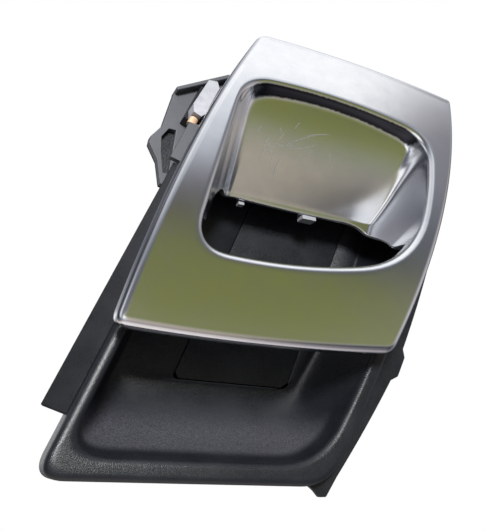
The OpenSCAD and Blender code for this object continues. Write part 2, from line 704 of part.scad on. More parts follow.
// Lamp at the hinge end
bracket_from = -25;
bracket_to = strip_from + 5;
bracket_z = -12;
bracket_t = 2.5;
bracket_across = -7.8;
bracket_screw_down = 50;
bracket_screw_p = at(bracket_across + 3.8, -bracket_screw_down);
guide_w = 6.6;
guide_top = -21;
guide_len = 17;
guide_across = -10.6;
flange_top = flange_z + flange_plate_t;
module lamp_bracket() {
    length = (bracket_from - bracket_to) / cos(slant);
    // The bracket leaves room for the guide and its lamp beside its upper end
    beside = guide_across + guide_w - bracket_across + fit;
    below = (guide_top - guide_len - bracket_to) / cos(slant) - 5;
    color(black) difference() {
        union() {
            leaning(bracket_across, bracket_to) translate([0, 0, bracket_z]) linear_extrude(bracket_t)
                polygon([[0, 0], [4.4, 0.6], [5.2, 3.4], [7.2, 3.6], [7.2, length], [beside, length],
                    [beside, below], [0, below - 1.5]]);
            // Foot that stands on the flange
            translate([bracket_screw_p[0], bracket_screw_p[1], flange_top])
                cylinder(h = bracket_z - flange_top + 0.5, r = 3);
        }
        translate([bracket_screw_p[0], bracket_screw_p[1], flange_top - cut])
            cylinder(h = cut + 6, r = 1.3);
    }
}

module bracket_screw() {
    color(steel) translate([bracket_screw_p[0], bracket_screw_p[1], 0]) {
        translate([0, 0, flange_z - 1.8]) difference() {
            cylinder(h = 1.8, r = 2.8);
            translate([0, 0, -cut]) cylinder(h = cut + 1, r = 1.2, $fn = 6);
        }
        translate([0, 0, flange_z - 0.1]) cylinder(h = flange_plate_t + 5, r = 1.3 - slip);
    }
}

module lamp_socket() {
    color("#26272a") leaning(guide_across, guide_top - guide_len) translate([0, 0, flange_top]) difference() {
        cube([guide_w, 18, 6]);
        translate([1.2, 2, 3]) cube([guide_w - 2.4, 14, 4]);
    }
}

module light_guide() {
    color("#e9eef2") leaning(guide_across, guide_top - guide_len) translate([0, 0, flange_top + 6])
        linear_extrude(6.5) polygon([[0.4, 3.4], [2, 0], [5.6, 0], [guide_w, 2.4], [guide_w, 17], [4.6, 19.4], [1.2, 17.6]]);
}

module lamp_led() {
    color("#e8c9a8") leaning(guide_across, guide_top - guide_len)
        translate([3.8, -fit, flange_top + 8.4]) rotate([90, 0, 0]) cylinder(h = 3.2, r = 1.9);
}

// Cable clip and panel clips at the back
cable_x = arm_x + arm_t / 2;
cable_r = 2.5;
clip_z = hinge_z - arm_len;
module cable_clip() {
    color("#26272a") difference() {
        translate([cable_x - 5, tray_top + 0.5, clip_z - 3]) cube([10, 5, 7.5]);
        translate([cable_x, tray_top - cut, clip_z]) rotate([-90, 0, 0]) cylinder(h = 8, r = cable_r);
        translate([cable_x - cable_r + 0.6, tray_top - cut, clip_z]) cube([2 * cable_r - 1.2, 8, 6]);
    }
}

module retaining_clips() {
    leaf = 0.8;
    color(steel) for (p = clip_tab)
        translate([p[0] + 2, p[1] + tab_size[1] / 2, floor_z - tray_t - tab_size[2] + 0.5])
        rotate([90, 0, 90]) linear_extrude(6) polygon([
            [-1 - leaf, -leaf], [1 + leaf, -leaf], [3, 6], [1 + leaf, 9.5], [1, 9.5], [2, 6], [1, 0],
            [-1, 0], [-2, 6], [-1, 9.5], [-1 - leaf, 9.5], [-3, 6]]);
}

// Stands the handle upright, with the fixing screw's axis at the back face as its origin
module upright() {
    rotate([90, 0, 0]) translate([-fix_x, -fix_y, -seat_z]) children();
}

upright() housing();
upright() screw_cover();
upright() main_screw();
upright() screw_seal();
upright() hinge_pin();
upright() pin_clip();
upright() return_spring();
upright() left_buffer();
upright() right_buffer();
upright() lamp_bracket();
upright() bracket_screw();
upright() light_guide();
upright() lamp_led();
upright() lamp_socket();
upright() cable_clip();
upright() retaining_clips();
upright() lever_shell();
upright() lever_carrier();
upright() carrier_screws();
upright() cable_arm();
upright() arm_rivet();
upright() left_bush();
upright() right_bush();
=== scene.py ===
import json
import logging
import math
from dataclasses import dataclass, field, replace
from enum import Enum
from typing import Any, Sequence

import bpy
import numpy as np
from mathutils import Matrix, Vector
from mathutils.geometry import tessellate_polygon

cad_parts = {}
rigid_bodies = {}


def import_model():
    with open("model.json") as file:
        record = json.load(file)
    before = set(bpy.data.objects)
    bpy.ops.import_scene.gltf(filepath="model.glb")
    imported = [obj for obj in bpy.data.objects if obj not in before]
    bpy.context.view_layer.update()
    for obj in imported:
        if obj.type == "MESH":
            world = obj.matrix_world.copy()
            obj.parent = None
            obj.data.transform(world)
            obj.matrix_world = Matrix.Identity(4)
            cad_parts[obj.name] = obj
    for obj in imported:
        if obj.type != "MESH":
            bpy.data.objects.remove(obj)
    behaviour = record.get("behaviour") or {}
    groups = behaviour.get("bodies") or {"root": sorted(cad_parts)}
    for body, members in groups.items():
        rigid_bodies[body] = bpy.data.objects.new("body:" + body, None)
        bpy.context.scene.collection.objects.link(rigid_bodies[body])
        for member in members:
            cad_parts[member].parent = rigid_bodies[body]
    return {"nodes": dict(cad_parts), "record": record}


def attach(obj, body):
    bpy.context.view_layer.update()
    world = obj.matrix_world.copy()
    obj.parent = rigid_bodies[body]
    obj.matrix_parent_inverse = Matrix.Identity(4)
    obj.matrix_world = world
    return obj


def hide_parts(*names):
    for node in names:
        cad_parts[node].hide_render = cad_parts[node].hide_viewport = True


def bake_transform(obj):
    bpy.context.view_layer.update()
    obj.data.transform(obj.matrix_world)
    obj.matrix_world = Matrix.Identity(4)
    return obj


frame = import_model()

# Shapes are worked out in millimetres with the handle lying face up: x along the hinge,
# y up the plate, z out towards the hand. `upright` stands them in the frame, in metres.

Tree = bpy.types.NodeTree
Socket = bpy.types.NodeSocket
Piece = bpy.types.Object
Material = bpy.types.Material
Points = Sequence[Sequence[float]]

LOG = logging.getLogger("door_handle")
# Steps along a side and round a corner of every plan outline, so that outlines can be lofted
SIDE_STEPS = 44
TURN_STEPS = 12
MM = 0.001
SLANT = 21.3
LEAN = math.tan(math.radians(SLANT))
# Plate, pocket and cover, in millimetres; the left side leans by SLANT degrees
PLATE_W = 104.0
PLATE_H = 133.0
TRAY_H = 178.9
FLOOR_Z = -31.0
SEAT_Z = -38.0
COVER_Y = -102.0
COVER_X = PLATE_W - 41.7 + LEAN * COVER_Y
# The hinge pin's y and z
HINGE = (-14.0, -12.0)
WEB_LEFT = 12.0
WEB_RIGHT = PLATE_W - 16.0
WEB_T = 4.0
# The cable's arm stands beside the hinge ear: a gap, the bush's rim and the ear lie between
CABLE_X = WEB_LEFT + WEB_T + 0.3 + 0.7 + 4.0 + 1.5


class Body(Enum):
    """The two bodies of the frame."""

    BASE = "base"
    LEVER = "lever"


class Slot(Enum):
    """The record's material slots."""

    SATIN = "satin_metal"
    GRAINED = "grained_black"
    SMOOTH = "smooth_black"
    GREY = "grey_plastic"
    ZINC = "zinc_steel"
    SPRING = "spring_steel"
    RUBBER = "rubber"
    FOAM = "foam"
    GUIDE = "clear_guide"
    AMBER = "amber_lamp"
    ACETAL = "acetal"


# Plan geometry


def at(across: float, y: float) -> tuple[float, float]:
    """Plan point given by its distance across from the leaning left side."""
    return (across + LEAN * y, y)


def ease(t: np.ndarray) -> np.ndarray:
    """Smooth step from 0 to 1: 3t^2 - 2t^3 with t clipped."""
    c = np.clip(t, 0.0, 1.0)
    return c * c * (3.0 - 2.0 * c)


def soft_max(a: np.ndarray, b: np.ndarray, k: float | np.ndarray) -> np.ndarray:
    """The larger of a and b, rounded by up to k/4 where they are within k of each other."""
    return np.maximum(a, b) + k / 4.0 * np.maximum(0.0, 1.0 - np.abs(a - b) / k) ** 2


def soft_min(a: np.ndarray, b: np.ndarray, k: float) -> np.ndarray:
    """The smaller of a and b, rounded in the same way."""
    return -soft_max(-a, -b, k)


def cross2(a: np.ndarray, b: np.ndarray) -> np.ndarray:
    """Signed area of two plan vectors."""
    return a[..., 0] * b[..., 1] - a[..., 1] * b[..., 0]


def bowed(a: np.ndarray, b: np.ndarray, bow: float, u: np.ndarray) -> np.ndarray:
    """Points on the chord a-b pushed outwards by bow * 4u(1-u)."""
    d = b - a
    n = np.array([d[1], -d[0]]) / np.hypot(*d)
    return a + d * u[:, None] + n * (bow * 4.0 * u * (1.0 - u))[:, None]


def bowed_dir(a: np.ndarray, b: np.ndarray, bow: float, u: float) -> np.ndarray:
    """Tangent of the bowed chord at u."""
    d = b - a
    n = np.array([d[1], -d[0]]) / np.hypot(*d)
    return d + n * bow * 4.0 * (1.0 - 2.0 * u)


@dataclass(frozen=True)
class Plan:
    """A four-sided plan outline with bowed sides and eased corners."""

    corners: Points
    bows: Sequence[float] = (0.0, 0.0, 0.0, 0.0)
    rounds: Sequence[float] = (1.0, 1.0, 1.0, 1.0)

    def loop(self) -> np.ndarray:
        """The closed outline.

        Each side runs along its bowed chord, and each corner is a quadratic curve whose
        handle is where the two tangents meet.

        Returns:
            Points as an array of 4 * (SIDE_STEPS + TURN_STEPS) rows and 2 columns.
        """
        c = np.asarray(self.corners, float)
        rows = []
        for k in range(4):
            a, b, e = c[k], c[(k + 1) % 4], c[(k + 2) % 4]
            nxt = (k + 1) % 4
            first = self.rounds[k] / np.hypot(*(b - a))
            last = 1.0 - self.rounds[nxt] / np.hypot(*(b - a))
            after = self.rounds[nxt] / np.hypot(*(e - b))
            p = bowed(a, b, self.bows[k], np.array([last]))[0]
            q = bowed(b, e, self.bows[nxt], np.array([after]))[0]
            dp = bowed_dir(a, b, self.bows[k], last)
            dq = bowed_dir(b, e, self.bows[nxt], after)
            v = p + dp * (cross2(q - p, dq) / cross2(dp, dq))
            rows.append(bowed(a, b, self.bows[k], np.linspace(first, last, SIDE_STEPS + 1)))
            t = (np.arange(1, TURN_STEPS) / TURN_STEPS)[:, None]
            rows.append(p * (1 - t) ** 2 + v * 2 * t * (1 - t) + q * t * t)
        return np.concatenate(rows)


def unit(v: np.ndarray) -> np.ndarray:
    """Vectors of length 1, with a zero vector left as it is."""
    return v / np.maximum(np.linalg.norm(v, axis=-1, keepdims=True), 1e-9)


def plan_normals(loop: np.ndarray) -> np.ndarray:
    """Outward unit normals of a closed loop: each halves the angle between the two edges."""
    d = unit(np.roll(loop, -1, 0) - loop) + unit(loop - np.roll(loop, 1, 0))
    return unit(np.stack([d[:, 1], -d[:, 0]], 1))


def grid_normals(grid: np.ndarray) -> np.ndarray:
    """Unit normals of a grid that is closed along its first axis, from central differences."""
    along = unit(np.roll(grid, -1, 0) - grid) + unit(grid - np.roll(grid, 1, 0))
    over = np.concatenate(
        [grid[:, 1:2] - grid[:, :1], grid[:, 2:] - grid[:, :-2], grid[:, -1:] - grid[:, -2:-1]], 1
    )
    return unit(np.cross(along, over))


def facing_front(normals: np.ndarray, backward: float = -0.3) -> np.ndarray:
    """The same normals, turned over where columns of the grid cross and z is under backward."""
    return normals * np.where(normals[..., 2:] < backward, -1.0, 1.0)


def rounded_end(
    front: np.ndarray, back: np.ndarray, before: np.ndarray, steps: int = 5
) -> np.ndarray:
    """Rows that close a wall's open end with a flattened half round.

    The half round is centred between the two faces. Its height is a third of the half
    wall, along the way the face was going.

    Args:
        front: End row of the front face.
        back: End row of the back face.
        before: The front row before the last one.
        steps: Rows to add.

    Returns:
        Array of points by rows, from front to back.
    """
    mid = (front + back) / 2.0
    arm = front - mid
    half = np.linalg.norm(arm, axis=1, keepdims=True)
    way = front - before
    way = way - arm * (np.sum(way * arm, 1, keepdims=True) / half**2)
    way = way / np.maximum(np.linalg.norm(way, axis=1, keepdims=True), 1e-9)
    a = (np.arange(1, steps + 1) / (steps + 1) * math.pi)[None, :, None]
    return mid[:, None] + arm[:, None] * np.cos(a) + (way * half / 3.0)[:, None] * np.sin(a)


# Mesh and scene helpers


def upright(points: np.ndarray) -> np.ndarray:
    """Millimetres lying face up to metres in the frame: (x, y, z) goes to (x, -z, y)."""
    p = np.asarray(points, float).reshape(-1, 3)
    return np.stack([p[:, 0] - COVER_X, -(p[:, 2] - SEAT_Z), p[:, 1] - COVER_Y], 1) * MM


def mesh_object(
    name: str, points: np.ndarray, faces: Sequence[Sequence[int]], smooth: float = 40.0
) -> Piece:
    """A mesh object at the origin from millimetre points.

    Args:
        name: Name of the piece.
        points: Points lying face up.
        faces: Index lists or an integer array of quads.
        smooth: Edges sharper than this many degrees stay sharp.

    Returns:
        The new object, linked to the scene.
    """
    mesh = bpy.data.meshes.new(name)
    rows = faces.tolist() if isinstance(faces, np.ndarray) else [list(f) for f in faces]
    mesh.from_pydata(upright(points).tolist(), [], rows)
    mesh.validate()
    mesh.shade_smooth()
    mesh.set_sharp_from_angle(angle=math.radians(smooth))
    obj = bpy.data.objects.new(name, mesh)
    bpy.context.scene.collection.objects.link(obj)
    return obj


def loft(name: str, grid: np.ndarray, smooth: float) -> Piece:
    """Quads over a grid that is closed along both axes, as round a ring's section.

    Args:
        name: Name of the piece.
        grid: Array of points along, points over, 3.
        smooth: Edges sharper than this stay sharp.

    Returns:
        The new object.
    """
    n, m = grid.shape[:2]
    i = np.arange(n)[:, None]
    j = np.arange(m)[None, :]
    k, l = (i + 1) % n, (j + 1) % m
    quads = np.stack([i * m + j, k * m + j, k * m + l, i * m + l], -1).reshape(-1, 4)
    return mesh_object(name, grid.reshape(-1, 3), quads, smooth)


def dish(name: str, front: np.ndarray, back: np.ndarray) -> Piece:
    """A dished sheet: front rows from rim to floor, back rows from rim to floor, fan caps.

    Args:
        name: Name of the piece.
        front: Array of points along, rows, 3.
        back: The same for the back face.

    Returns:
        The new object.
    """
    n = front.shape[0]
    body = np.concatenate([front[:, ::-1], back], 1)
    m = body.shape[1]
    i = np.arange(n)[:, None]
    j = np.arange(m - 1)[None, :]
    k = (i + 1) % n
    quads = np.stack([i * m + j, i * m + j + 1, k * m + j + 1, k * m + j], -1).reshape(-1, 4)
    middle = np.stack([front[:, -1].mean(0), back[:, -1].mean(0)])
    ring = np.arange(n)
    nxt = (ring + 1) % n
    tops = np.stack([np.full(n, n * m), ring * m, nxt * m], 1)
    feet = np.stack([np.full(n, n * m + 1), nxt * m + m - 1, ring * m + m - 1], 1)
    faces = quads.tolist() + tops.tolist() + feet.tolist()
    return mesh_object(name, np.concatenate([body.reshape(-1, 3), middle]), faces, 50.0)


def bevel(obj: Piece, width: float, segments: int = 2) -> Piece:
    """Round a piece's sharp edges by width millimetres."""
    mod = obj.modifiers.new("soft_edges", "BEVEL")
    mod.width = width * MM
    mod.segments = segments
    mod.limit_method = "ANGLE"
    mod.angle_limit = math.radians(35)
    mod.harden_normals = True
    return obj


def prism(name: str, outline: Points, low: float, high: float, turn: Matrix | None = None) -> Piece:
    """A block with a plan outline between two heights, put in place by a matrix.

    Args:
        name: Name of the piece.
        outline: Plan points, anticlockwise.
        low: Height of the lower face.
        high: Height of the upper face.
        turn: Matrix that places the block, in millimetres.

    Returns:
        The new object.
    """
    flat = np.asarray(outline, float)
    n = len(flat)
    points = np.concatenate([np.c_[flat, np.full(n, low)], np.c_[flat, np.full(n, high)]])
    if turn is not None:
        m = np.array(turn)
        points = points @ m[:3, :3].T + m[:3, 3]
    sides = [[i, (i + 1) % n, (i + 1) % n + n, i + n] for i in range(n)]
    return mesh_object(name, points, [list(range(n))[::-1], list(range(n, 2 * n))] + sides, 30.0)


def tube(name: str, spine: np.ndarray, radius: float, sides: int = 12) -> Piece:
    """A round wire along a spine, with parallel-carried rings and closed ends.

    Args:
        name: Name of the piece.
        spine: Points along the wire.
        radius: Radius of the wire.
        sides: Sides of a ring.

    Returns:
        The new object.
    """
    way = np.gradient(spine, axis=0)
    way /= np.linalg.norm(way, axis=1, keepdims=True)
    ref = np.array([1.0, 0.0, 0.0])
    u = ref - way * (way @ ref)[:, None]
    u /= np.linalg.norm(u, axis=1, keepdims=True)
    v = np.cross(way, u)
    a = np.linspace(0, 2 * math.pi, sides, endpoint=False)
    across, up = np.cos(a)[None, :, None], np.sin(a)[None, :, None]
    ring = spine[:, None] + radius * (u[:, None] * across + v[:, None] * up)
    n = len(spine)
    i = np.arange(n - 1)[:, None]
    j = np.arange(sides)[None, :]
    l = (j + 1) % sides
    near, far = i * sides, (i + 1) * sides
    quads = np.stack([near + j, near + l, far + l, far + j], -1).reshape(-1, 4).tolist()
    ends = [list(range(sides))[::-1], list(range((n - 1) * sides, n * sides))]
    return mesh_object(name, ring.reshape(-1, 3), quads + ends, 50.0)


def settle(obj: Piece, body: Body, slot: Slot, material: Material, *nodes: str) -> Piece:
    """Dress a piece, put it on its body and hide the CAD nodes that it replaces.

    Args:
        obj: The piece.
        body: Body that it moves with.
        slot: Material slot of the record; not used.
        material: Its material.
        nodes: CAD nodes that it replaces.

    Returns:
        The piece.
    """
    obj.data.materials.clear()
    obj.data.materials.append(material)
    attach(obj, body.value)
    if nodes:
        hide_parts(*nodes)
    LOG.info("%s rides on %s", obj.name, body.value)
    return obj


# Materials


def linear(hex_colour: str) -> tuple[float, float, float, float]:
    """An sRGB hex colour as linear RGBA."""
    c = np.array([int(hex_colour[i : i + 2], 16) for i in (1, 3, 5)]) / 255.0
    low = c / 12.92
    high = ((c + 0.055) / 1.055) ** 2.4
    return tuple(float(v) for v in np.where(c <= 0.04045, low, high)) + (1.0,)


def add_node(
    tree: Tree,
    kind: str,
    links: dict[str | int, Any] | None = None,
    stops: Sequence[tuple[float, str]] = (),
    **settings: Any,
) -> bpy.types.Node:
    """Add a node, set it up and link it.

    Args:
        tree: Tree to add to.
        kind: The node's type name, after ShaderNode.
        links: Socket name or index to a value, or to the output that feeds it.
        stops: Places and hex colours of a colour ramp.
        settings: Attributes of the node.

    Returns:
        The node.
    """
    node = tree.nodes.new("ShaderNode" + kind)
    for key, value in settings.items():
        setattr(node, key, value)
    for key, value in (links or {}).items():
        if isinstance(value, Socket):
            tree.links.new(value, node.inputs[key])
        else:
            node.inputs[key].default_value = value
    if stops:
        elements = node.color_ramp.elements
        while len(elements) < len(stops):
            elements.new(0.5)
        for element, (place, colour) in zip(elements, stops):
            element.position = place
            element.color = linear(colour)
    return node


@dataclass(frozen=True)
class Pattern:
    """Three patterns that a finish is made of: its colour, its roughness and its relief."""

    tint: Socket
    rough: Socket
    relief: Socket


@dataclass(frozen=True)
class Finish:
    """A finish: what the surface is, and the size of the detail on it.

    Grain is the width of one grain in millimetres, and depth is how far it stands out.
    Sparkle is how much smoother the tallest grains are. Mottle is the width in millimetres
    of the blotches that turn colour into second and vary the roughness. Blotches and fine
    hold a noise's detail and roughness, and stops are where on it the two colours stand.
    """

    name: str
    colour: str
    second: str
    roughness: float
    vary: float
    grain: float
    depth: float
    sparkle: float = 0.0
    metallic: float = 0.0
    ior: float = 1.5
    coat: float = 0.0
    coat_roughness: float = 0.2
    mottle: float = 11.1
    blotches: tuple[float, float] = (4.0, 0.6)
    fine: tuple[float, float] = (3.0, 0.6)
    stops: tuple[float, float] = (0.35, 0.68)

    def material(self) -> Material:
        """Build the material.

        Noise at the grain's own size stands out as relief, and a wider noise mottles the
        colour and the roughness a little, as handling does. The tallest grains are polished,
        so they glint where the light grazes them.

        Returns:
            The material.
        """
        mat = bpy.data.materials.new(self.name)
        mat.use_nodes = True
        tree = mat.node_tree
        tree.nodes.clear()
        place = add_node(tree, "TexCoord").outputs["Object"]
        noise = []
        for width, (detail, rough) in ((self.grain, self.fine), (self.mottle, self.blotches)):
            scale = 1.0 / (width * MM)
            links = {"Vector": place, "Scale": scale, "Detail": detail, "Roughness": rough}
            noise.append(add_node(tree, "TexNoise", links).outputs["Fac"])
        fine, wide = noise
        stops = list(zip(self.stops, (self.colour, self.second)))
        tint = add_node(tree, "ValToRGB", {0: wide}, stops).outputs["Color"]
        shares = []
        for value, *ends in (
            (wide, 0.3, 0.7, self.roughness - self.vary, self.roughness + self.vary),
            (fine, 0.52, 0.66, 0.0, -self.sparkle),
        ):
            links = {"Value": value, **dict(zip(("From Min", "From Max", "To Min", "To Max"), ends))}
            shares.append(add_node(tree, "MapRange", links).outputs[0])
        rough = add_node(tree, "Math", dict(enumerate(shares)), operation="ADD").outputs[0]
        changed_by_place = self.changed_by_place(tree, place, Pattern(tint, rough, fine))
        relief = {"Height": changed_by_place.relief, "Strength": 1.0, "Distance": self.depth * MM}
        bump = add_node(tree, "Bump", relief).outputs[0]
        links = {"Base Color": changed_by_place.tint, "Roughness": changed_by_place.rough, "Normal": bump, **self.surface()}
        shader = add_node(tree, "BsdfPrincipled", links)
        add_node(tree, "OutputMaterial", {"Surface": shader.outputs[0]})
        return mat

    def changed_by_place(self, tree: Tree, place: Socket, new: Pattern) -> Pattern:
        """The patterns as they are; a finish with wear or painted light changes them by place."""
        return new

    def surface(self) -> dict[str, float]:
        """The surface's plain values; a metal keeps the default index of refraction."""
        if self.metallic:
            return {"Metallic": self.metallic}
        return {"IOR": self.ior, "Coat Weight": self.coat, "Coat Roughness": self.coat_roughness}


@dataclass(frozen=True)
class GrainWithPaintedSheen(Finish):
    """Grained moulding with a painted sheen, a paler tint that stands in for the light on the ramp's
    lower part, with a soft edge all round.

    Over the heights in foot the painted sheen fades in, over those in crest it fades out, and
    over the depths in inside it fades in from the rim, all in millimetres of the frame.
    Speck is the width of a painted glint on the grain, and bare is the share of painted sheen between
    them.
    """

    # Painted sheen: this paler colour stands in for the light on the ramp's lower part
    pale: str = "#424247"
    bare: float = 0.35
    speck: float = 0.4167
    foot: tuple[float, float] = (-69.5, -65.0)
    crest: tuple[float, float] = (-48.0, -62.0)
    inside: tuple[float, float] = (-31.0, -26.0)

    def changed_by_place(self, tree: Tree, place: Socket, new: Pattern) -> Pattern:
        """The patterns with a painted sheen that makes the tint paler on the ramp's lower part inside
        the mouth.
        """
        axes = add_node(tree, "SeparateXYZ", {0: place}).outputs
        links = {"Vector": place, "Scale": 1.0 / (self.speck * MM), "Detail": 2.0}
        specks = add_node(tree, "TexNoise", links).outputs["Fac"]
        links = {"Value": specks, "From Min": 0.4, "From Max": 0.65, "To Min": self.bare}
        mask = add_node(tree, "MapRange", links).outputs[0]
        for axis, (low, high) in (("Z", self.foot), ("Z", self.crest), ("Y", self.inside)):
            links = {"Value": axes[axis], "From Min": low * MM, "From Max": high * MM}
            edge = add_node(tree, "MapRange", links, interpolation_type="SMOOTHSTEP").outputs[0]
            mask = add_node(tree, "Math", {0: mask, 1: edge}, operation="MULTIPLY").outputs[0]
        # Painted sheen: the pale colour is mixed in over the mask
        links = {"Factor": mask, "A": new.tint, "B": linear(self.pale)}
        return replace(new, tint=add_node(tree, "Mix", links, data_type="RGBA").outputs["Result"])


@dataclass(frozen=True)
class Stroke:
    """One scratch: its middle, the way it runs in degrees, its length, bend and width.

    The bend and the width are in millimetres, the bend at the scratch's ends.
    """

    x: float
    y: float
    angle: float
    length: float
    bend: float = 0.0
    width: float = 0.3

    def mask(self, tree: Tree, place: Socket) -> Socket:
        """1 along the scratch, fading to 0 at its sides and ends."""
        x, _, z = upright(np.array([[self.x, self.y, 0.0]]))[0]
        links = {
            "Vector": place,
            "Location": (x, 0.0, z),
            "Rotation": (0.0, -math.radians(self.angle), 0.0),
            "Scale": (self.length / 2.0 * MM, 1.0, MM),
        }
        local = add_node(tree, "Mapping", links, vector_type="TEXTURE").outputs[0]
        axes = add_node(tree, "SeparateXYZ", {0: local}).outputs
        far = add_node(tree, "Math", {0: axes["X"], 1: axes["X"]}, operation="MULTIPLY").outputs[0]
        links = {0: far, 1: self.bend, 2: axes["Z"]}
        off = add_node(tree, "Math", links, operation="MULTIPLY_ADD").outputs[0]
        off = add_node(tree, "Math", {0: off}, operation="ABSOLUTE").outputs[0]
        fades = []
        for value, low, high in ((off, self.width * 0.2, self.width), (far, 0.4, 1.0)):
            links = {"Value": value, "From Min": low, "From Max": high, "To Min": 1.0, "To Max": 0.0}
            fades.append(add_node(tree, "MapRange", links).outputs[0])
        return add_node(tree, "Math", dict(enumerate(fades)), operation="MULTIPLY").outputs[0]


@dataclass(frozen=True)
class SatinPlating(Finish):
    """Satin nickel-chrome plating on a finely blasted moulding, scratched in the scoop, with a
    painted dark reflection on the scoop's upper roll.

    It gives broad soft reflections with a faint grain. Fingernails have drawn short crossing
    lines at the scoop's upper left. The scoop's upper roll faces down, and its colour is a
    painted dark reflection, which fades in over the heights in above, in millimetres, and over
    the downward slopes in down. Ragged is how far noise moves its edge, and tatter the
    noise's width. Dulled and cut are what a stroke adds to the roughness and to the relief.
    """

    metallic: float = 1.0
    mottle: float = 8.333
    blotches: tuple[float, float] = (5.0, 0.65)
    fine: tuple[float, float] = (2.0, 0.5)
    stops: tuple[float, float] = (0.3, 0.7)
    # Painted dark reflection on the scoop's upper roll, which faces down
    painted_dark_reflection: str = "#3b3d43"
    above: tuple[float, float] = (54.0, 58.0)
    down: tuple[float, float] = (-0.33, -0.5)
    ragged: float = 0.2
    tatter: float = 1.43
    dulled: float = 0.35
    cut: float = -3.0
    strokes: tuple[Stroke, ...] = (
        Stroke(5.0, -49.3, 74, 6.1),
        Stroke(4.5, -53.0, 70, 4.8),
        Stroke(8.1, -50.1, 63, 4.8),
        Stroke(11.3, -45.3, 60, 4.5),
        Stroke(11.8, -56.7, 78, 8.3, 0.7),
        Stroke(20.3, -44.1, 28, 17.0, 0.6),
        Stroke(21.8, -47.3, 19, 14.0, -0.5),
        Stroke(24.1, -49.4, 45, 8.1, 0.3),
        Stroke(7.1, -50.4, -59, 5.5),
        Stroke(1.2, -44.8, 68, 3.3),
        Stroke(10.7, -43.2, -69, 2.7),
        Stroke(17.6, -39.4, 61, 3.8),
        Stroke(35.2, -48.1, -76, 5.9),
        Stroke(9.1, -54.3, 77, 5.5, 0.4),
        Stroke(13.6, -48.2, 10, 9.0, -0.4),
        Stroke(28.0, -40.5, 16, 12.0, 0.4),
    )

    def roll(self, tree: Tree, place: Socket) -> Socket:
        """Mask for the painted dark reflection on the scoop's overhanging upper roll, ragged along
        its edge.

        It is 1 where the surface faces down and lies above the finger opening. Noise that is
        drawn out along the height makes the edge ragged.
        """
        normal = add_node(tree, "TexCoord").outputs["Normal"]
        facing = add_node(tree, "SeparateXYZ", {0: normal}).outputs["Z"]
        height = add_node(tree, "SeparateXYZ", {0: place}).outputs["Z"]
        links = {"Vector": place, "Scale": (1.0, 1.0, 0.25)}
        drawn = add_node(tree, "Mapping", links).outputs[0]
        links = {"Vector": drawn, "Scale": 1.0 / (self.tatter * MM), "Detail": 3.0}
        noise = add_node(tree, "TexNoise", links).outputs["Fac"]
        links = {0: noise, 1: self.ragged, 2: facing}
        down = add_node(tree, "Math", links, operation="MULTIPLY_ADD").outputs[0]
        edges = []
        for value, low, high in ((down, *self.down), (height, *(v * MM for v in self.above))):
            links = {"Value": value, "From Min": low, "From Max": high}
            edges.append(add_node(tree, "MapRange", links).outputs[0])
        return add_node(tree, "Math", dict(enumerate(edges)), operation="MULTIPLY").outputs[0]

    def changed_by_place(self, tree: Tree, place: Socket, new: Pattern) -> Pattern:
        """The patterns with the painted dark reflection on the roll, and with the strokes cut in and
        dulled.
        """
        lines = None
        for stroke in self.strokes:
            mark = stroke.mask(tree, place)
            if lines is not None:
                mark = add_node(tree, "Math", {0: lines, 1: mark}, operation="MAXIMUM").outputs[0]
            lines = mark
        # Painted dark reflection: the roll's mask tints it dark
        links = {"Factor": self.roll(tree, place), "A": new.tint, "B": linear(self.painted_dark_reflection)}
        tint = add_node(tree, "Mix", links, data_type="RGBA").outputs["Result"]
        changed = []
        for share, pattern in ((self.dulled, new.rough), (self.cut, new.relief)):
            links = {0: lines, 1: share, 2: pattern}
            changed.append(add_node(tree, "Math", links, operation="MULTIPLY_ADD").outputs[0])
        return Pattern(tint, *changed)


@dataclass(frozen=True)
class ClearGuide(Finish):
    """Moulded clear acrylic, hazed by age: a little light runs through it and its edges glow."""

    clear: float = 0.25

    def surface(self) -> dict[str, float]:
        """The surface's plain values, with the share of light that goes through."""
        return {"Transmission Weight": self.clear, "IOR": self.ior}


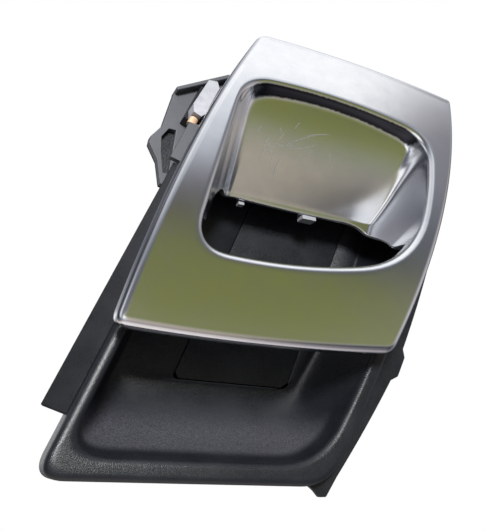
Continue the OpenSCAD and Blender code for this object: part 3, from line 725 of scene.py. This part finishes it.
FINISHES: dict[Slot, Finish] = {
    # The blasting is finer than this, and is drawn at 0.35 mm so that it shows
    Slot.SATIN: SatinPlating("satin_plating", "#e4e5e8", "#dddfe3", 0.2, 0.03, 0.35, 0.004),
    # ABS moulding with a fine eroded grain, which breaks the light into small glints; its ramp carries a
    # painted sheen
    Slot.GRAINED: GrainWithPaintedSheen("grained_abs", "#0e1014", "#131519", 0.38, 0.05, 0.3, 0.09, 0.2, ior=1.4),
    # The same plastic from a polished mould, which shows the light as clear streaks
    Slot.SMOOTH: Finish("smooth_abs", "#0c0d0f", "#101114", 0.3, 0.04, 1.6, 0.01, ior=1.46),
    # Glass-filled nylon, pale grey and half matt
    Slot.GREY: Finish("filled_nylon", "#7b7c80", "#707175", 0.45, 0.05, 0.5, 0.03, ior=1.53),
    # Steel with a bright zinc plating, a little mottled
    Slot.ZINC: Finish("zinc_plating", "#a9abb0", "#93969b", 0.32, 0.06, 0.8, 0.006, metallic=1.0),
    # Drawn spring wire, oiled, with a soft grey shine
    Slot.SPRING: Finish("spring_wire", "#7d8087", "#6c6f76", 0.3, 0.05, 0.5, 0.004, metallic=1.0),
    # Moulded rubber, dull and dusty black
    Slot.RUBBER: Finish("moulded_rubber", "#161616", "#1c1c1c", 0.7, 0.05, 0.6, 0.02, ior=1.52),
    # Open-cell foam, with no shine at all
    Slot.FOAM: Finish("cell_foam", "#242426", "#38383b", 0.95, 0.03, 0.7, 0.25, ior=1.45),
    # Hazy acrylic, pale against the black moulding
    Slot.GUIDE: ClearGuide("clear_acrylic", "#a2a3a7", "#84858a", 0.24, 0.06, 1.0, 0.06, ior=1.49),
    # Lamp cap dipped in amber lacquer, peach under a thin gloss
    Slot.AMBER: Finish("amber_lacquer", "#a88c76", "#9c7f63", 0.25, 0.04, 0.9, 0.01, ior=1.52, coat=0.3),
    # Turned acetal, waxy white
    Slot.ACETAL: Finish("acetal", "#dcd9d0", "#d2cfc5", 0.38, 0.04, 0.7, 0.008, ior=1.48),
}

# A darker and less mirroring copy of the black moulding for the strip: painted shade, for the shade it
# lies in beside the plate
PAINTED_SHADE_STRIP_FINISH = Finish("painted_shade_strip_abs", "#0c0d10", "#111216", 0.36, 0.05, 0.3, 0.07, 0.12, ior=1.25)

# Moulding at the hinge end in a lighter grey than the rest: painted sheen, standing in for the light
# that grazes it
PAINTED_SHEEN_FINISH = Finish("painted_sheen_abs", "#3e3f43", "#36373b", 0.5, 0.06, 0.6, 0.04, ior=1.46)


# The lever


@dataclass
class LeverShell:
    """Satin plate: crowned face, rolled edges and the finger scoop, all one formed sheet.

    Lengths are in millimetres and angles in degrees. Right_steeper and left_flatter change
    the scoop's wall_angle, and fillet_right and fillet_top tighten its fillet, from side to
    side and along the top. Rounds are how far the opening's corners reach, and roll_rows,
    face_rows and scoop_rows count the sheet's rows.
    """

    top_z: float = 1.8
    bottom_z: float = 13.9
    crown: float = 6.4
    wall: float = 2.0
    roll: float = 3.0
    skirt: float = 5.0
    open_bottom: float = 104.0
    open_top: float = 31.0
    scoop_bottom: float = 69.0
    scoop_depth: float = 10.0
    scoop_fall: float = 13.0
    wall_angle: float = 64.0
    right_steeper: float = 6.0
    left_flatter: float = 15.0
    lip: float = 2.5
    fillet: float = 8.5
    fillet_right: float = 3.5
    fillet_top: float = 5.5
    rounds: tuple[float, ...] = (12, 24, 13, 12)
    roll_rows: int = 10
    face_rows: int = 16
    scoop_rows: int = 36
    outer: Plan = field(
        default_factory=lambda: Plan(
            [at(0, -PLATE_H - 0.5), at(PLATE_W, 1.8 - PLATE_H), (PLATE_W, -0.5), (0, 0)],
            (1.9, 5.0, 3.0, 5.0),
            (5, 4, 4, 4),
        )
    )

    def corners(self) -> list[tuple[float, float]]:
        """The opening's corners before they are rounded."""
        low, high = -self.open_bottom, -self.open_top
        return [(-27.5, low), (PLATE_W - 42.5, low + 10), (PLATE_W - 24.5, high - 2), (-8.5, high)]

    def face_z(self, y: np.ndarray) -> np.ndarray:
        """Height of the crowned face: a line down the plate plus crown * 4u(1-u)."""
        u = -y / PLATE_H
        return self.top_z + (self.bottom_z - self.top_z) * u + 4.0 * self.crown * u * (1.0 - u)

    def scoop_z(self, y: np.ndarray) -> np.ndarray:
        """Height of the scoop's floor, which falls away faster towards its lower edge.

        Half of the rise is straight, and half is 1 - (1-t)^2.
        """
        t = np.maximum(0.0, (y + self.scoop_bottom) / (self.scoop_bottom - self.open_top - 6.0))
        return -self.scoop_depth + self.scoop_fall * (0.5 * t + 0.5 * (1.0 - (1.0 - t) ** 2))

    def wall_gap(self, p: np.ndarray) -> np.ndarray:
        """Distance in from the opening's right, top and left edges, blended at the corners."""
        c = [np.array(v, float) for v in self.corners()]

        def gap(a: np.ndarray, b: np.ndarray) -> np.ndarray:
            return cross2(np.broadcast_to(b - a, p.shape), p - a) / np.hypot(*(b - a))

        return soft_min(gap(c[1], c[2]), soft_min(gap(c[2], c[3]), gap(c[3], c[0]), 5.0), 5.0)

    def inner_end(self, q: np.ndarray) -> np.ndarray:
        """Where the sheet ends inside the opening, point for point with the opening.

        The bottom and its right corner end at the opening itself. A quadratic curve then cuts
        across the right wall to the scoop's lower edge.
        """
        c = self.corners()
        low = [c[0], c[1], (PLATE_W - 41, -self.scoop_bottom - 1), (-13, -self.scoop_bottom - 0.5)]
        below = Plan(low, (4.5, 1, -1, 0), self.rounds).loop()
        leave, join = SIDE_STEPS + round(TURN_STEPS * 2 / 3), 2 * (SIDE_STEPS + TURN_STEPS)
        t = (np.arange(join - leave + 1) / (join - leave))[:, None]
        middle = np.array([PLATE_W - 38, below[join, 1] - 0.5])
        arc = q[leave] * (1 - t) ** 2 + middle * 2 * t * (1 - t) + below[join] * t * t
        return np.concatenate([q[:leave], arc, below[join + 1 :]])

    def surface(self) -> np.ndarray:
        """Outer face of the sheet.

        Rows go from the skirt's end over the outer roll, across the face, over the inner
        roll, and down the scoop or its short lip.

        Returns:
            Array of points along, rows, 3.
        """
        o = self.outer.loop()
        on = plan_normals(o)
        q = Plan(self.corners(), (4.5, 3.0, 4.5, 0.6), self.rounds).loop()
        qn = plan_normals(q)
        end = self.inner_end(q)
        reach = np.linalg.norm(end - q, axis=1)
        change = np.where(qn[:, 0] > 0, self.right_steeper, self.left_flatter)
        steep = self.wall_angle + change * qn[:, 0]
        tight = ease((qn[:, 1] - 0.4) / 0.5)
        fillet = self.fillet - self.fillet_right * qn[:, 0] - self.fillet_top * tight
        turn = np.radians(90.0 + (steep - 90.0) * ease(reach / 9.0))
        top = o - on * self.roll
        rim = q + qn * self.roll
        base = self.face_z(rim[:, 1]) - self.roll * (1 - np.cos(turn))
        start = rim - qn * (self.roll * np.sin(turn))[:, None]
        rows = []

        def row(p: np.ndarray, z: np.ndarray) -> None:
            rows.append(np.c_[p, z])

        for s in (0.0, 0.5):
            row(o, self.face_z(o[:, 1]) - self.skirt + s * (self.skirt - self.roll))
        for a in np.linspace(math.pi / 2, 0, self.roll_rows, endpoint=False):
            drop = self.roll * (1 - math.cos(a))
            row(o - on * self.roll * (1 - math.sin(a)), self.face_z(top[:, 1]) - drop)
        for t in np.linspace(0, 1, self.face_rows, endpoint=False):
            p = top + (rim - top) * t
            row(p, self.face_z(p[:, 1]))
        for t in np.linspace(0, 1, self.roll_rows, endpoint=False):
            a = turn * t
            drop = self.roll * (1 - np.cos(a))
            row(rim - qn * (self.roll * np.sin(a))[:, None], self.face_z(rim[:, 1]) - drop)
        last = start + (end - start) * ease(reach / 4.0)[:, None]
        for f in np.linspace(0, 1, self.scoop_rows + 1):
            p = start + (last - start) * f
            gone = np.maximum(0.0, self.wall_gap(p) - self.wall_gap(start))
            side = base - np.tan(np.radians(steep)) * gone
            low = soft_max(self.scoop_z(p[:, 1]), side, fillet)
            row(p, np.minimum(base, low) - self.lip * f)
        return np.stack(rows, 1)

    def build(self) -> Piece:
        """The closed sheet: face, rounded lower edge, back face, rounded skirt edge."""
        front = self.surface()
        back = front - facing_front(grid_normals(front)) * self.wall
        lower = rounded_end(front[:, -1], back[:, -1], front[:, -2])
        upper = rounded_end(back[:, 0], front[:, 0], back[:, 1])
        grid = np.concatenate([front, lower, back[:, ::-1], upper], 1)
        return loft("satin_shell", grid, 60.0)


# The pocket


@dataclass
class Pocket:
    """Black moulded pocket: rounded rim, drafted walls, curved ramp and the cover's recess.

    Lengths are in millimetres. Hinge_rim is the share of its height that the rim keeps near
    the hinge, straight is the share of the ramp's curve that starts straight down, and
    sharpen is how fast the mouth's corners tighten on the way down the ramp.
    """

    left: float = 2.9
    right: float = PLATE_W + 0.9
    top: float = -1.0
    rim_left: float = 5.0
    rim_right: float = 7.0
    rim_top: float = 5.0
    rim_bottom: float = 7.4
    rim_r: float = 2.6
    bow: float = 9.0
    pull: float = 2.0
    ramp: float = 27.0
    draft: float = 3.5
    fillet: float = 4.0
    wall: float = 2.0
    skirt: float = 12.0
    mouth_drop: float = 4.0
    corner: float = 9.0
    mouth_corner: float = 14.0
    cover_w: float = 49.5
    cover_h: float = 80.0
    cover_t: float = 2.0
    hinge_rim: float = 19.0 / 31.0
    straight: float = 0.35
    sharpen: float = 0.15
    roll_rows: int = 9
    wall_rows: int = 25

    def rim_scale(self, y: np.ndarray) -> np.ndarray:
        """Share of the full height that the rim keeps near the hinge."""
        return 1.0 + (self.hinge_rim - 1.0) * ease((y + 16.0) / 11.0)

    def ring(self, left: float, right: float, top: float, bottom: float, r: float) -> np.ndarray:
        """Outline of the pocket, brought in on each side by its own amount."""
        plan = Plan(
            [
                at(self.left + left, bottom - TRAY_H),
                at(self.right - self.pull - right, bottom - TRAY_H),
                at(self.right - right, self.top - top),
                at(self.left + left, self.top - top),
            ],
            (0, self.bow, 0, 0),
            (r, r * 1.2, r * 0.5, r * 0.5),
        )
        return plan.loop()

    def mouth(self, wall: float, foot: float, r: float) -> np.ndarray:
        """Outline of the mouth, brought in by wall and, at the foot, by foot."""
        left, right, top = self.rim_left + wall, self.rim_right + wall, self.rim_top + wall
        return self.ring(left, right, top, self.rim_bottom + foot, r)

    def cover_plan(self, grow: float) -> np.ndarray:
        """Outline of the screw cover, grown by a gap."""
        w, h = self.cover_w / 2 + grow, self.cover_h / 2 + grow
        sides = [(-1, -1), (1, -1), (1, 1), (-1, 1)]
        r = 2.5 + grow
        corners = [(COVER_X + a * w + LEAN * b * h, COVER_Y + b * h) for a, b in sides]
        return Plan(corners, rounds=(r, r, r, r)).loop()

    def raised(self, p: np.ndarray, z: float) -> np.ndarray:
        """A row of points at height z, lowered near the hinge."""
        return np.c_[p, FLOOR_Z + (z - FLOOR_Z) * self.rim_scale(p[:, 1])]

    def rows(self) -> list[np.ndarray]:
        """Rows of the pocket's face from the outer skirt over the rim and down to the floor."""
        skirt = self.ring(0, 0, 0, 0, self.corner)
        rows = [self.raised(skirt, z) for z in (-self.skirt, -self.skirt / 2)]
        rolls = np.linspace(math.pi / 2, 0, self.roll_rows)
        for a in rolls:
            d = self.rim_r * (1 - math.sin(a))
            z = -self.rim_r * (1 - math.cos(a))
            rows.append(self.raised(self.ring(d, d, d, d, self.corner), z))
        for a in rolls[::-1]:
            d = self.rim_r * (1 - math.sin(a))
            z = -self.rim_r * (1 - math.cos(a))
            rows.append(self.raised(self.mouth(-0.8 * d, -d, self.mouth_corner), z))
        for a in np.linspace(0, math.pi / 2, self.wall_rows):
            out, down = math.sin(a), 1 - math.cos(a)
            wall = self.draft * out + self.fillet * down
            foot = self.ramp * (self.straight * out + (1.0 - self.straight) * down)
            z = -self.mouth_drop + (FLOOR_Z + self.mouth_drop) * out
            corner = self.mouth_corner - foot * self.sharpen
            rows.append(self.raised(self.mouth(wall, foot, corner), z))
        inner = self.draft + self.fillet + 1.0
        corner = self.mouth_corner - self.ramp * self.sharpen
        rows.append(self.raised(self.mouth(inner, self.ramp + 0.8, corner), FLOOR_Z))
        return rows

    def build(self) -> Piece:
        """The moulded dish, with the recess for the cover sunk in its floor."""
        front = np.stack(self.rows(), 1)
        back = front - facing_front(grid_normals(front)) * self.wall
        gap = 0.25
        steps = ((gap, FLOOR_Z), (0.0, FLOOR_Z - gap), (0.0, FLOOR_Z - self.cover_t))
        recess = [np.c_[self.cover_plan(grow), np.full(len(front), z)] for grow, z in steps]
        face = np.concatenate([front, np.stack(recess, 1)], 1)
        return dish("pocket", face, back)

    def side_flange(self) -> Piece:
        """Flat flange along the bowed right side, with its tab and the toe at the corner.

        It widens over its first stretch, and the tab stands out just beyond that.
        """
        a = np.array(at(self.right - self.pull, -TRAY_H))
        b = np.array(at(self.right, self.top))
        d = b - a
        out = np.array([d[1], -d[0]]) / np.hypot(*d)

        def edge(u: np.ndarray, away: np.ndarray) -> np.ndarray:
            return bowed(a, b, self.bow, np.atleast_1d(u)) + out * np.atleast_1d(away)[:, None]

        start, end, widening, steps = 0.03, 0.64, 0.25, 40
        u = np.linspace(start, end, steps)
        tab = (u > start + widening) & (u < start + widening + 0.06)
        breadth = 4.5 + 5.0 * np.clip((u - start) / widening, 0, 1) + 2.1 * tab
        toe = [at(x, y - TRAY_H) for x, y in ((97.5, 0.5), (101, -1.4), (104, -3.6), (107, -3.5))]
        plan = np.concatenate([toe, edge(u, breadth), edge(u, np.full(steps, -1.0))[::-1]])
        return bevel(prism("side_flange", plan, -9.0, -7.0), 0.4)

    def strip(self) -> Piece:
        """Tilted strip along the left side, square cut at its lower end."""
        low, high = 18.6 - TRAY_H, -66.0
        width, thick, tilt = 12.0, 1.8, math.radians(-32)
        lean = Matrix.Rotation(math.radians(-SLANT), 4, "Z")
        foot = Matrix.Translation((*at(self.left + 2.4, low), -5.0))
        turn = foot @ lean @ Matrix.Rotation(tilt, 4, "Y")
        length = (high - low) / math.cos(math.radians(SLANT))
        outline = [(-width, 0), (0, 0), (0, length), (-width, length)]
        return bevel(prism("left_strip", outline, -thick, 0.0, turn), 0.4)

    def flange_outline(self) -> list[Sequence[float]]:
        """Outline of the flange at the hinge end, with its lug."""
        inner = self.left + 7.9
        lug = [(-32.6, -41), (-35.6, -45.2), (-37, -47), (-37.4, -50), (-33.4, -57), (-31.4, -67)]
        return [at(inner, -70), at(inner, -7), (1.6, -5), (-28.7, -23.8), *lug]

    def flange_floor(self) -> Piece:
        """Thin floor of the flange, seen through its window."""
        return bevel(prism("flange_floor", self.flange_outline(), -26.0, -25.0), 0.3)

    def hinge_flange(self) -> list[Piece]:
        """Flange at the hinge end with its deep window, and the rib on its free edge."""
        outline = self.flange_outline()
        hole = [(-29.5, -41.5), (-32.4, -46), (-32, -53), (-30.6, -62), (-28.4, -62), (-26.5, -41.5)]
        rim = plate_with_hole("hinge_flange", outline, hole, -25.0, -22.0)
        edge = [(-28.2, -24.9), (-4.5, -11.0), (-5.5, -9.4), (-29.0, -23.4)]
        return [bevel(rim, 0.3), bevel(prism("flange_rib", edge, -26.0, -18.0), 0.5)]

    def back_parts(self) -> list[Piece]:
        """What stands on the back and inside the hinge end: seat, webs, rib, ledge, pegs, tabs."""
        hy, hz = HINGE
        parts = [prism("screw_seat", self.cover_plan(4.0)[::4], SEAT_Z, FLOOR_Z - 2.3)]
        arc = np.linspace(math.pi, 0, 17)
        eye = 5.5
        top = [(hy + eye * math.cos(a), hz + eye * math.sin(a)) for a in arc]
        web = top + [(hy + eye, FLOOR_Z - 1), (hy - 13, FLOOR_Z - 1)]
        for name, x in (("left_web", WEB_LEFT), ("right_web", WEB_RIGHT - WEB_T)):
            parts.append(prism(name, web[::-1], 0.0, WEB_T, across(x)))
        rib = [(-18.5, -32), (-18.5, -25), (-20.5, -25), (-23.5, -32)]
        parts.append(prism("spring_rib", rib, 0.0, 7.0, across(49.2)))
        left, right, low, high = CABLE_X - 8, CABLE_X + 8, -10.5, 4.5
        ledge = [(left, low), (right, low), (right, high), (left, high)]
        parts.append(prism("clip_ledge", ledge, -30.0, -27.0))
        ring = np.linspace(0, 2 * math.pi, 33)[:-1]
        circle = np.c_[np.cos(ring), np.sin(ring)]
        for k, (y, high) in enumerate(((-58.0, -32.0), (16.9 - TRAY_H, -28.5))):
            centre = np.array(at(PLATE_W / 2, y))
            parts.append(prism(f"peg_{k}", circle * 2.5 + centre, SEAT_Z - 8, high))
            parts.append(prism(f"peg_boss_{k}", circle * 5.0 + centre, SEAT_Z, high))
        for k, x in enumerate((4.0, 62.0)):
            tab = [(x, -30), (x + 10, -30), (x + 10, -28), (x, -28)]
            parts.append(prism(f"clip_tab_{k}", tab, -44.5, -32.5))
        return [bevel(p, 0.3) for p in parts]


@dataclass
class ReturnSpring:
    """Torsion spring around the hinge pin, with one leg on the pocket and one on the lever.

    First_turn is the share of a turn at which the wire starts, and rings counts the rings
    along the coils.
    """

    wire: float = 0.6
    radius: float = 3.6
    turns: float = 5.75
    first_turn: float = 0.75
    pitch: float = 1.7
    start_x: float = 44.0
    lever_leg: float = 12.5
    pocket_leg: float = 18.7
    rings: int = 138

    def spine(self) -> np.ndarray:
        """Middle of the wire: a leg, the helix at an even pitch, and the other leg."""
        turn = np.linspace(0.0, self.turns, self.rings)
        a = 2.0 * math.pi * (turn + self.first_turn)
        y, z = HINGE[0] + self.radius * np.cos(a), HINGE[1] + self.radius * np.sin(a)
        helix = np.c_[self.start_x + self.pitch * turn, y, z]
        ahead = np.c_[np.zeros(self.rings), -np.sin(a), np.cos(a)]
        lever_end = helix[0] - ahead[0] * self.lever_leg
        pocket_end = helix[-1] + ahead[-1] * self.pocket_leg
        return np.concatenate([[lever_end], helix, [pocket_end]])

    def build(self, material: Material) -> None:
        """Make the wire between the pocket and the lever, and hide the CAD spring."""
        obj = tube("torsion_spring", self.spine(), self.wire)
        obj.data.materials.append(material)
        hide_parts("return_spring")
        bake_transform(obj)
        LOG.info("%s winds between base and lever", obj.name)


def across(x: float) -> Matrix:
    """Matrix that stands a profile of y and z across the hinge, with its thickness along x."""
    return Matrix(((0, 0, 1, x), (1, 0, 0, 0), (0, 1, 0, 0), (0, 0, 0, 1)))


def plate_with_hole(name: str, outline: Points, hole: Points, low: float, high: float) -> Piece:
    """A flat plate with one hole, filled by Blender's own polygon fill.

    Args:
        name: Name of the piece.
        outline: Outer plan, anticlockwise.
        hole: Plan of the hole.
        low: Height of the lower face.
        high: Height of the upper face.

    Returns:
        The new object.
    """
    loops = [[Vector((*p, 0.0)) for p in outline], [Vector((*p, 0.0)) for p in hole]]
    flat = np.array(list(outline) + list(hole), float)
    n, k = len(outline), len(flat)
    caps = np.array(tessellate_polygon(loops))
    area = cross2(flat[caps[:, 1]] - flat[caps[:, 0]], flat[caps[:, 2]] - flat[caps[:, 0]])
    caps[area < 0] = caps[area < 0][:, ::-1]
    points = np.concatenate([np.c_[flat, np.full(k, low)], np.c_[flat, np.full(k, high)]])
    faces = caps[:, ::-1].tolist() + (caps + k).tolist()
    for start, count in ((0, n), (n, k - n)):
        ring = np.arange(count)
        i, j = start + ring, start + (ring + 1) % count
        if cross_sum(flat[start : start + count]) < 0:
            i, j = j, i
        side = np.stack([i, j, j + k, i + k], 1)
        faces += (side if start == 0 else side[:, ::-1]).tolist()
    return mesh_object(name, points, faces, 30.0)


def cross_sum(loop: np.ndarray) -> float:
    """Twice the signed area of a closed plan loop."""
    return float(np.sum(cross2(loop, np.roll(loop, -1, 0))))


# The room, the lamps and the camera


# Colours of what the plate mirrors: first what is outside, then what is in the cabin
SKY = "#ffffff"
HAZE = "#e6e8ec"
CLOUD = "#bcc0c8"
LAWN = "#707440"
MEADOW = "#7c8058"
VERGE = "#848874"
PATH = "#a09888"
SOIL = "#504848"
GLASS = "#8c929a"
TRIM = "#686a72"
DASH = "#484a50"
SHADE = "#303238"
FOOTWELL = "#202226"
CARPET = "#8c8482"
SEAT = "#78747a"
SILL = "#b4a8a0"


@dataclass(frozen=True)
class Column:
    """One strip of the room: its azimuth in degrees from the front, and colours by height.

    Heights are the direction's upward part, from -1 straight down to 1 straight up. At the
    two ends a column has the room's ground and sky, unless it names a colour of its own.
    """

    azimuth: float
    colours: dict[float, str]


@dataclass(frozen=True)
class Surroundings:
    """What the satin plate mirrors: a car's cabin with a lawn outside, as colours by direction."""

    gloss: float = 1.3
    plain: str = "#c9ccd0"
    backdrop: str = "#ffffff"
    ground: str = "#efe7e5"
    sky: str = SKY
    columns: tuple[Column, ...] = (
        Column(-180.0, {-0.6: SILL, -0.2: GLASS, 0.15: SKY, 0.4: TRIM, 0.85: DASH}),
        Column(-122.0, {-0.6: SILL, -0.2: GLASS, 0.2: HAZE, 0.5: TRIM, 0.85: SHADE, 1: CLOUD}),
        Column(-95.0, {-0.8: SEAT, -0.2: FOOTWELL, 0.3: SHADE, 0.62: SHADE, 0.72: SEAT, 1: CLOUD}),
        Column(-72.0, {-0.8: SEAT, -0.2: SHADE, 0.3: DASH, 0.8: SHADE, 1: HAZE}),
        Column(-55.0, {-0.85: CARPET, -0.5: TRIM, 0: HAZE, 0.3: HAZE, 0.55: SEAT}),
        Column(-38.0, {-0.85: CARPET, -0.4: GLASS, 0: SEAT, 0.4: TRIM, 0.7: CLOUD}),
        Column(-20.0, {-0.8: GLASS, -0.4: SKY, 0: SKY, 0.12: TRIM, 0.3: DASH, 0.6: GLASS}),
        Column(-5.0, {-0.8: GLASS, -0.4: SKY, -0.05: SKY, 0.08: TRIM, 0.3: DASH, 0.6: GLASS}),
        Column(13.0, {
            -0.72: CARPET, -0.56: SILL, -0.3: PATH, -0.15: PATH, -0.03: MEADOW, 0.08: LAWN,
            0.3: LAWN, 0.46: SOIL, 0.54: TRIM, 0.62: CLOUD, 0.8: HAZE, 0.86: SKY,
        }),
        Column(29.0, {
            -0.75: CARPET, -0.57: PATH, -0.3: PATH, -0.12: VERGE, 0: MEADOW, 0.1: LAWN, 0.28: LAWN,
            0.44: DASH, 0.56: SEAT, 0.64: CLOUD, 0.8: HAZE, 0.86: SKY,
        }),
        Column(37.0, {
            -0.7: CARPET, -0.55: DASH, -0.42: SHADE, -0.25: SEAT, -0.1: VERGE, 0.05: MEADOW,
            0.2: LAWN, 0.34: DASH, 0.5: TRIM, 0.66: GLASS, 0.8: HAZE, 0.86: SKY,
        }),
        Column(46.0, {
            -0.7: CARPET, -0.55: DASH, -0.4: DASH, -0.15: VERGE, 0.05: MEADOW, 0.2: SEAT,
            0.34: DASH, 0.5: TRIM, 0.67: GLASS, 0.77: SKY, 0.82: SKY,
        }),
        Column(54.0, {
            -0.75: SEAT, -0.45: SHADE, -0.3: DASH, 0: SILL, 0.3: GLASS, 0.5: SEAT, 0.71: SEAT,
            0.77: SKY,
        }),
        Column(62.0, {
            -0.75: SEAT, -0.45: SHADE, -0.3: DASH, 0: SILL, 0.3: GLASS, 0.5: SEAT, 0.75: SEAT,
            0.82: SKY,
        }),
        Column(78.0, {-0.75: SEAT, -0.6: SHADE, -0.3: TRIM, 0: CLOUD, 0.3: SILL, 0.6: GLASS, 1: HAZE}),
        Column(108.0, {-0.6: SEAT, 0: TRIM, 0.4: SHADE, 0.8: CLOUD, 1: HAZE}),
        Column(150.0, {-0.6: SEAT, 0: FOOTWELL, 0.4: FOOTWELL, 0.8: CLOUD}),
    )

    def build(self) -> None:
        """World shader: white to the camera, a soft coloured room to gloss, plain grey to the rest.

        Columns blend into each other along the azimuth.
        """
        world = bpy.data.worlds.new("room")
        bpy.context.scene.world = world
        world.use_nodes = True
        tree = world.node_tree
        tree.nodes.clear()
        way = add_node(tree, "TexCoord").outputs["Generated"]
        axes = add_node(tree, "SeparateXYZ", {0: way}).outputs
        towards = add_node(tree, "Math", {0: axes["Y"], 1: -1.0}, operation="MULTIPLY").outputs[0]
        turn = add_node(tree, "Math", {0: axes["X"], 1: towards}, operation="ARCTAN2").outputs[0]
        azimuth = add_node(tree, "Math", {0: turn}, operation="DEGREES").outputs[0]
        links = {"Value": axes["Z"], "From Min": -1.0, "From Max": 1.0}
        height = add_node(tree, "MapRange", links).outputs[0]
        room = None
        for last, column in zip((None, *self.columns), self.columns):
            colours = {-1.0: self.ground, 1.0: self.sky, **column.colours}
            stops = [((h + 1.0) / 2.0, colour) for h, colour in sorted(colours.items())]
            shade = add_node(tree, "ValToRGB", {0: height}, stops).outputs["Color"]
            if last is None:
                room = shade
                continue
            links = {"Value": azimuth, "From Min": last.azimuth, "From Max": column.azimuth}
            share = add_node(tree, "MapRange", links, interpolation_type="SMOOTHSTEP").outputs[0]
            links = {"Factor": share, "A": room, "B": shade}
            room = add_node(tree, "Mix", links, data_type="RGBA").outputs["Result"]
        links = {0: room, "Scale": self.gloss}
        shown = add_node(tree, "VectorMath", links, operation="SCALE").outputs[0]
        path = add_node(tree, "LightPath").outputs
        for ray, colour in (("Is Diffuse Ray", self.plain), ("Is Camera Ray", self.backdrop)):
            links = {"Factor": path[ray], "A": shown, "B": linear(colour)}
            shown = add_node(tree, "Mix", links, data_type="RGBA").outputs["Result"]
        glow = add_node(tree, "Background", {"Color": shown, "Strength": 1.0})
        add_node(tree, "OutputWorld", {"Surface": glow.outputs[0]})


@dataclass(frozen=True)
class Lamp:
    """A square soft lamp.

    Place and aim are in metres, size is its side, and gloss is the share of its mirror image
    that is kept.
    """

    name: str
    place: tuple[float, ...]
    size: float
    watts: float
    gloss: float
    aim: tuple[float, ...] = (0.0, 0.0, -0.03)

    def build(self, lit: bpy.types.Collection) -> None:
        """Set it up to light these pieces only; the plating mirrors the room instead."""
        data = bpy.data.lights.new(self.name, "AREA")
        data.size = self.size
        data.energy = self.watts
        data.specular_factor = self.gloss
        obj = bpy.data.objects.new(self.name, data)
        place = Vector(self.place)
        facing = (Vector(self.aim) - place).to_track_quat("-Z", "Y").to_matrix().to_4x4()
        obj.matrix_world = Matrix.Translation(place) @ facing
        obj.light_linking.receiver_collection = lit
        bpy.context.scene.collection.objects.link(obj)


def set_stage() -> None:
    """Floor, room and lamps."""
    Surroundings().build()
    dark = bpy.data.collections.new("lit_by_lamps")
    plating = FINISHES[Slot.SATIN].name
    for obj in bpy.context.scene.objects:
        if obj.type == "MESH" and not any(m and m.name == plating for m in obj.data.materials):
            dark.objects.link(obj)
    Lamp("key", (-0.5, -0.6, 0.9), size=0.6, watts=4.5, gloss=0.4).build(dark)
    Lamp("window", (-0.27, -0.73, 0.18), size=0.16, watts=15.0, gloss=1.0).build(dark)
    radius, below, forward, steps = 270.0, 150.0, 30.0, 96
    a = np.linspace(0, 2 * math.pi, steps, endpoint=False)
    x, z = radius * np.cos(a) + COVER_X, radius * np.sin(a) + SEAT_Z + forward
    disc = np.c_[x, np.full(steps, COVER_Y - below), z]
    floor = mesh_object("floor", disc, [list(range(steps))])
    paint = Finish("painted_floor", "#e9e9e8", "#ecebea", 0.6, 0.02, 4.0, 0.02)
    floor.data.materials.append(paint.material())
    # The plate mirrors the cabin, so the floor stays out of its reflections
    floor.visible_glossy = False


@dataclass(frozen=True)
class Viewpoint:
    """Where the photograph was taken from.

    Place is in metres. Right and down are the picture's own directions in the frame, and
    focal and height give the lens in pixels of the photograph.
    """

    place: tuple[float, ...] = (-0.11199, -0.22827, -0.07018)
    right: tuple[float, ...] = (0.90657, -0.42056, 0.0356)
    down: tuple[float, ...] = (0.16292, 0.27088, -0.94873)
    focal: float = 600.0
    height: float = 531.0
    sensor: float = 36.0

    def build(self) -> None:
        """Set the scene's camera there."""
        data = bpy.data.cameras.new("camera")
        data.sensor_width = self.sensor
        data.lens = self.sensor * self.focal / self.height
        data.clip_start = 0.01
        cam = bpy.data.objects.new("camera", data)
        right = Vector(self.right).normalized()
        ahead = right.cross(Vector(self.down)).normalized()
        down = ahead.cross(right).normalized()
        turn = Matrix((right, -down, -ahead)).transposed().to_4x4()
        cam.matrix_world = Matrix.Translation(Vector(self.place)) @ turn
        bpy.context.scene.collection.objects.link(cam)
        bpy.context.scene.camera = cam
        bpy.context.scene.view_settings.view_transform = "Standard"


def main() -> None:
    """Build the pieces, dress what is kept, and set the stage."""
    logging.basicConfig(level=logging.INFO, format="%(message)s")
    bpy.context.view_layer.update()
    materials = {slot: finish.material() for slot, finish in FINISHES.items()}
    node_slots = {part["node"]: part["material_slot"] for part in frame["record"]["subparts"]}
    for name, node in frame["nodes"].items():
        slot = Slot(node_slots[name])
        node.data.materials.clear()
        node.data.materials.append(materials[slot])
    settle(LeverShell().build(), Body.LEVER, Slot.SATIN, materials[Slot.SATIN], "lever_shell")
    pocket = Pocket()
    black = materials[Slot.GRAINED]
    settle(pocket.build(), Body.BASE, Slot.GRAINED, black, "housing")
    for piece in [pocket.side_flange(), pocket.flange_floor(), *pocket.back_parts()]:
        settle(piece, Body.BASE, Slot.GRAINED, black)
    # The hinge flange and the lamp bracket get the lighter copy of the moulding, which is painted sheen
    painted_sheen_material = PAINTED_SHEEN_FINISH.material()
    frame["nodes"]["lamp_bracket"].data.materials[0] = painted_sheen_material
    for piece in pocket.hinge_flange():
        settle(piece, Body.BASE, Slot.GRAINED, painted_sheen_material)
    ReturnSpring().build(materials[Slot.SPRING])
    # The strip gets the darker copy of the moulding, which is painted shade
    settle(pocket.strip(), Body.BASE, Slot.GRAINED, PAINTED_SHADE_STRIP_FINISH.material())
    set_stage()
    Viewpoint().build()


if __name__ == "__main__":
    main()
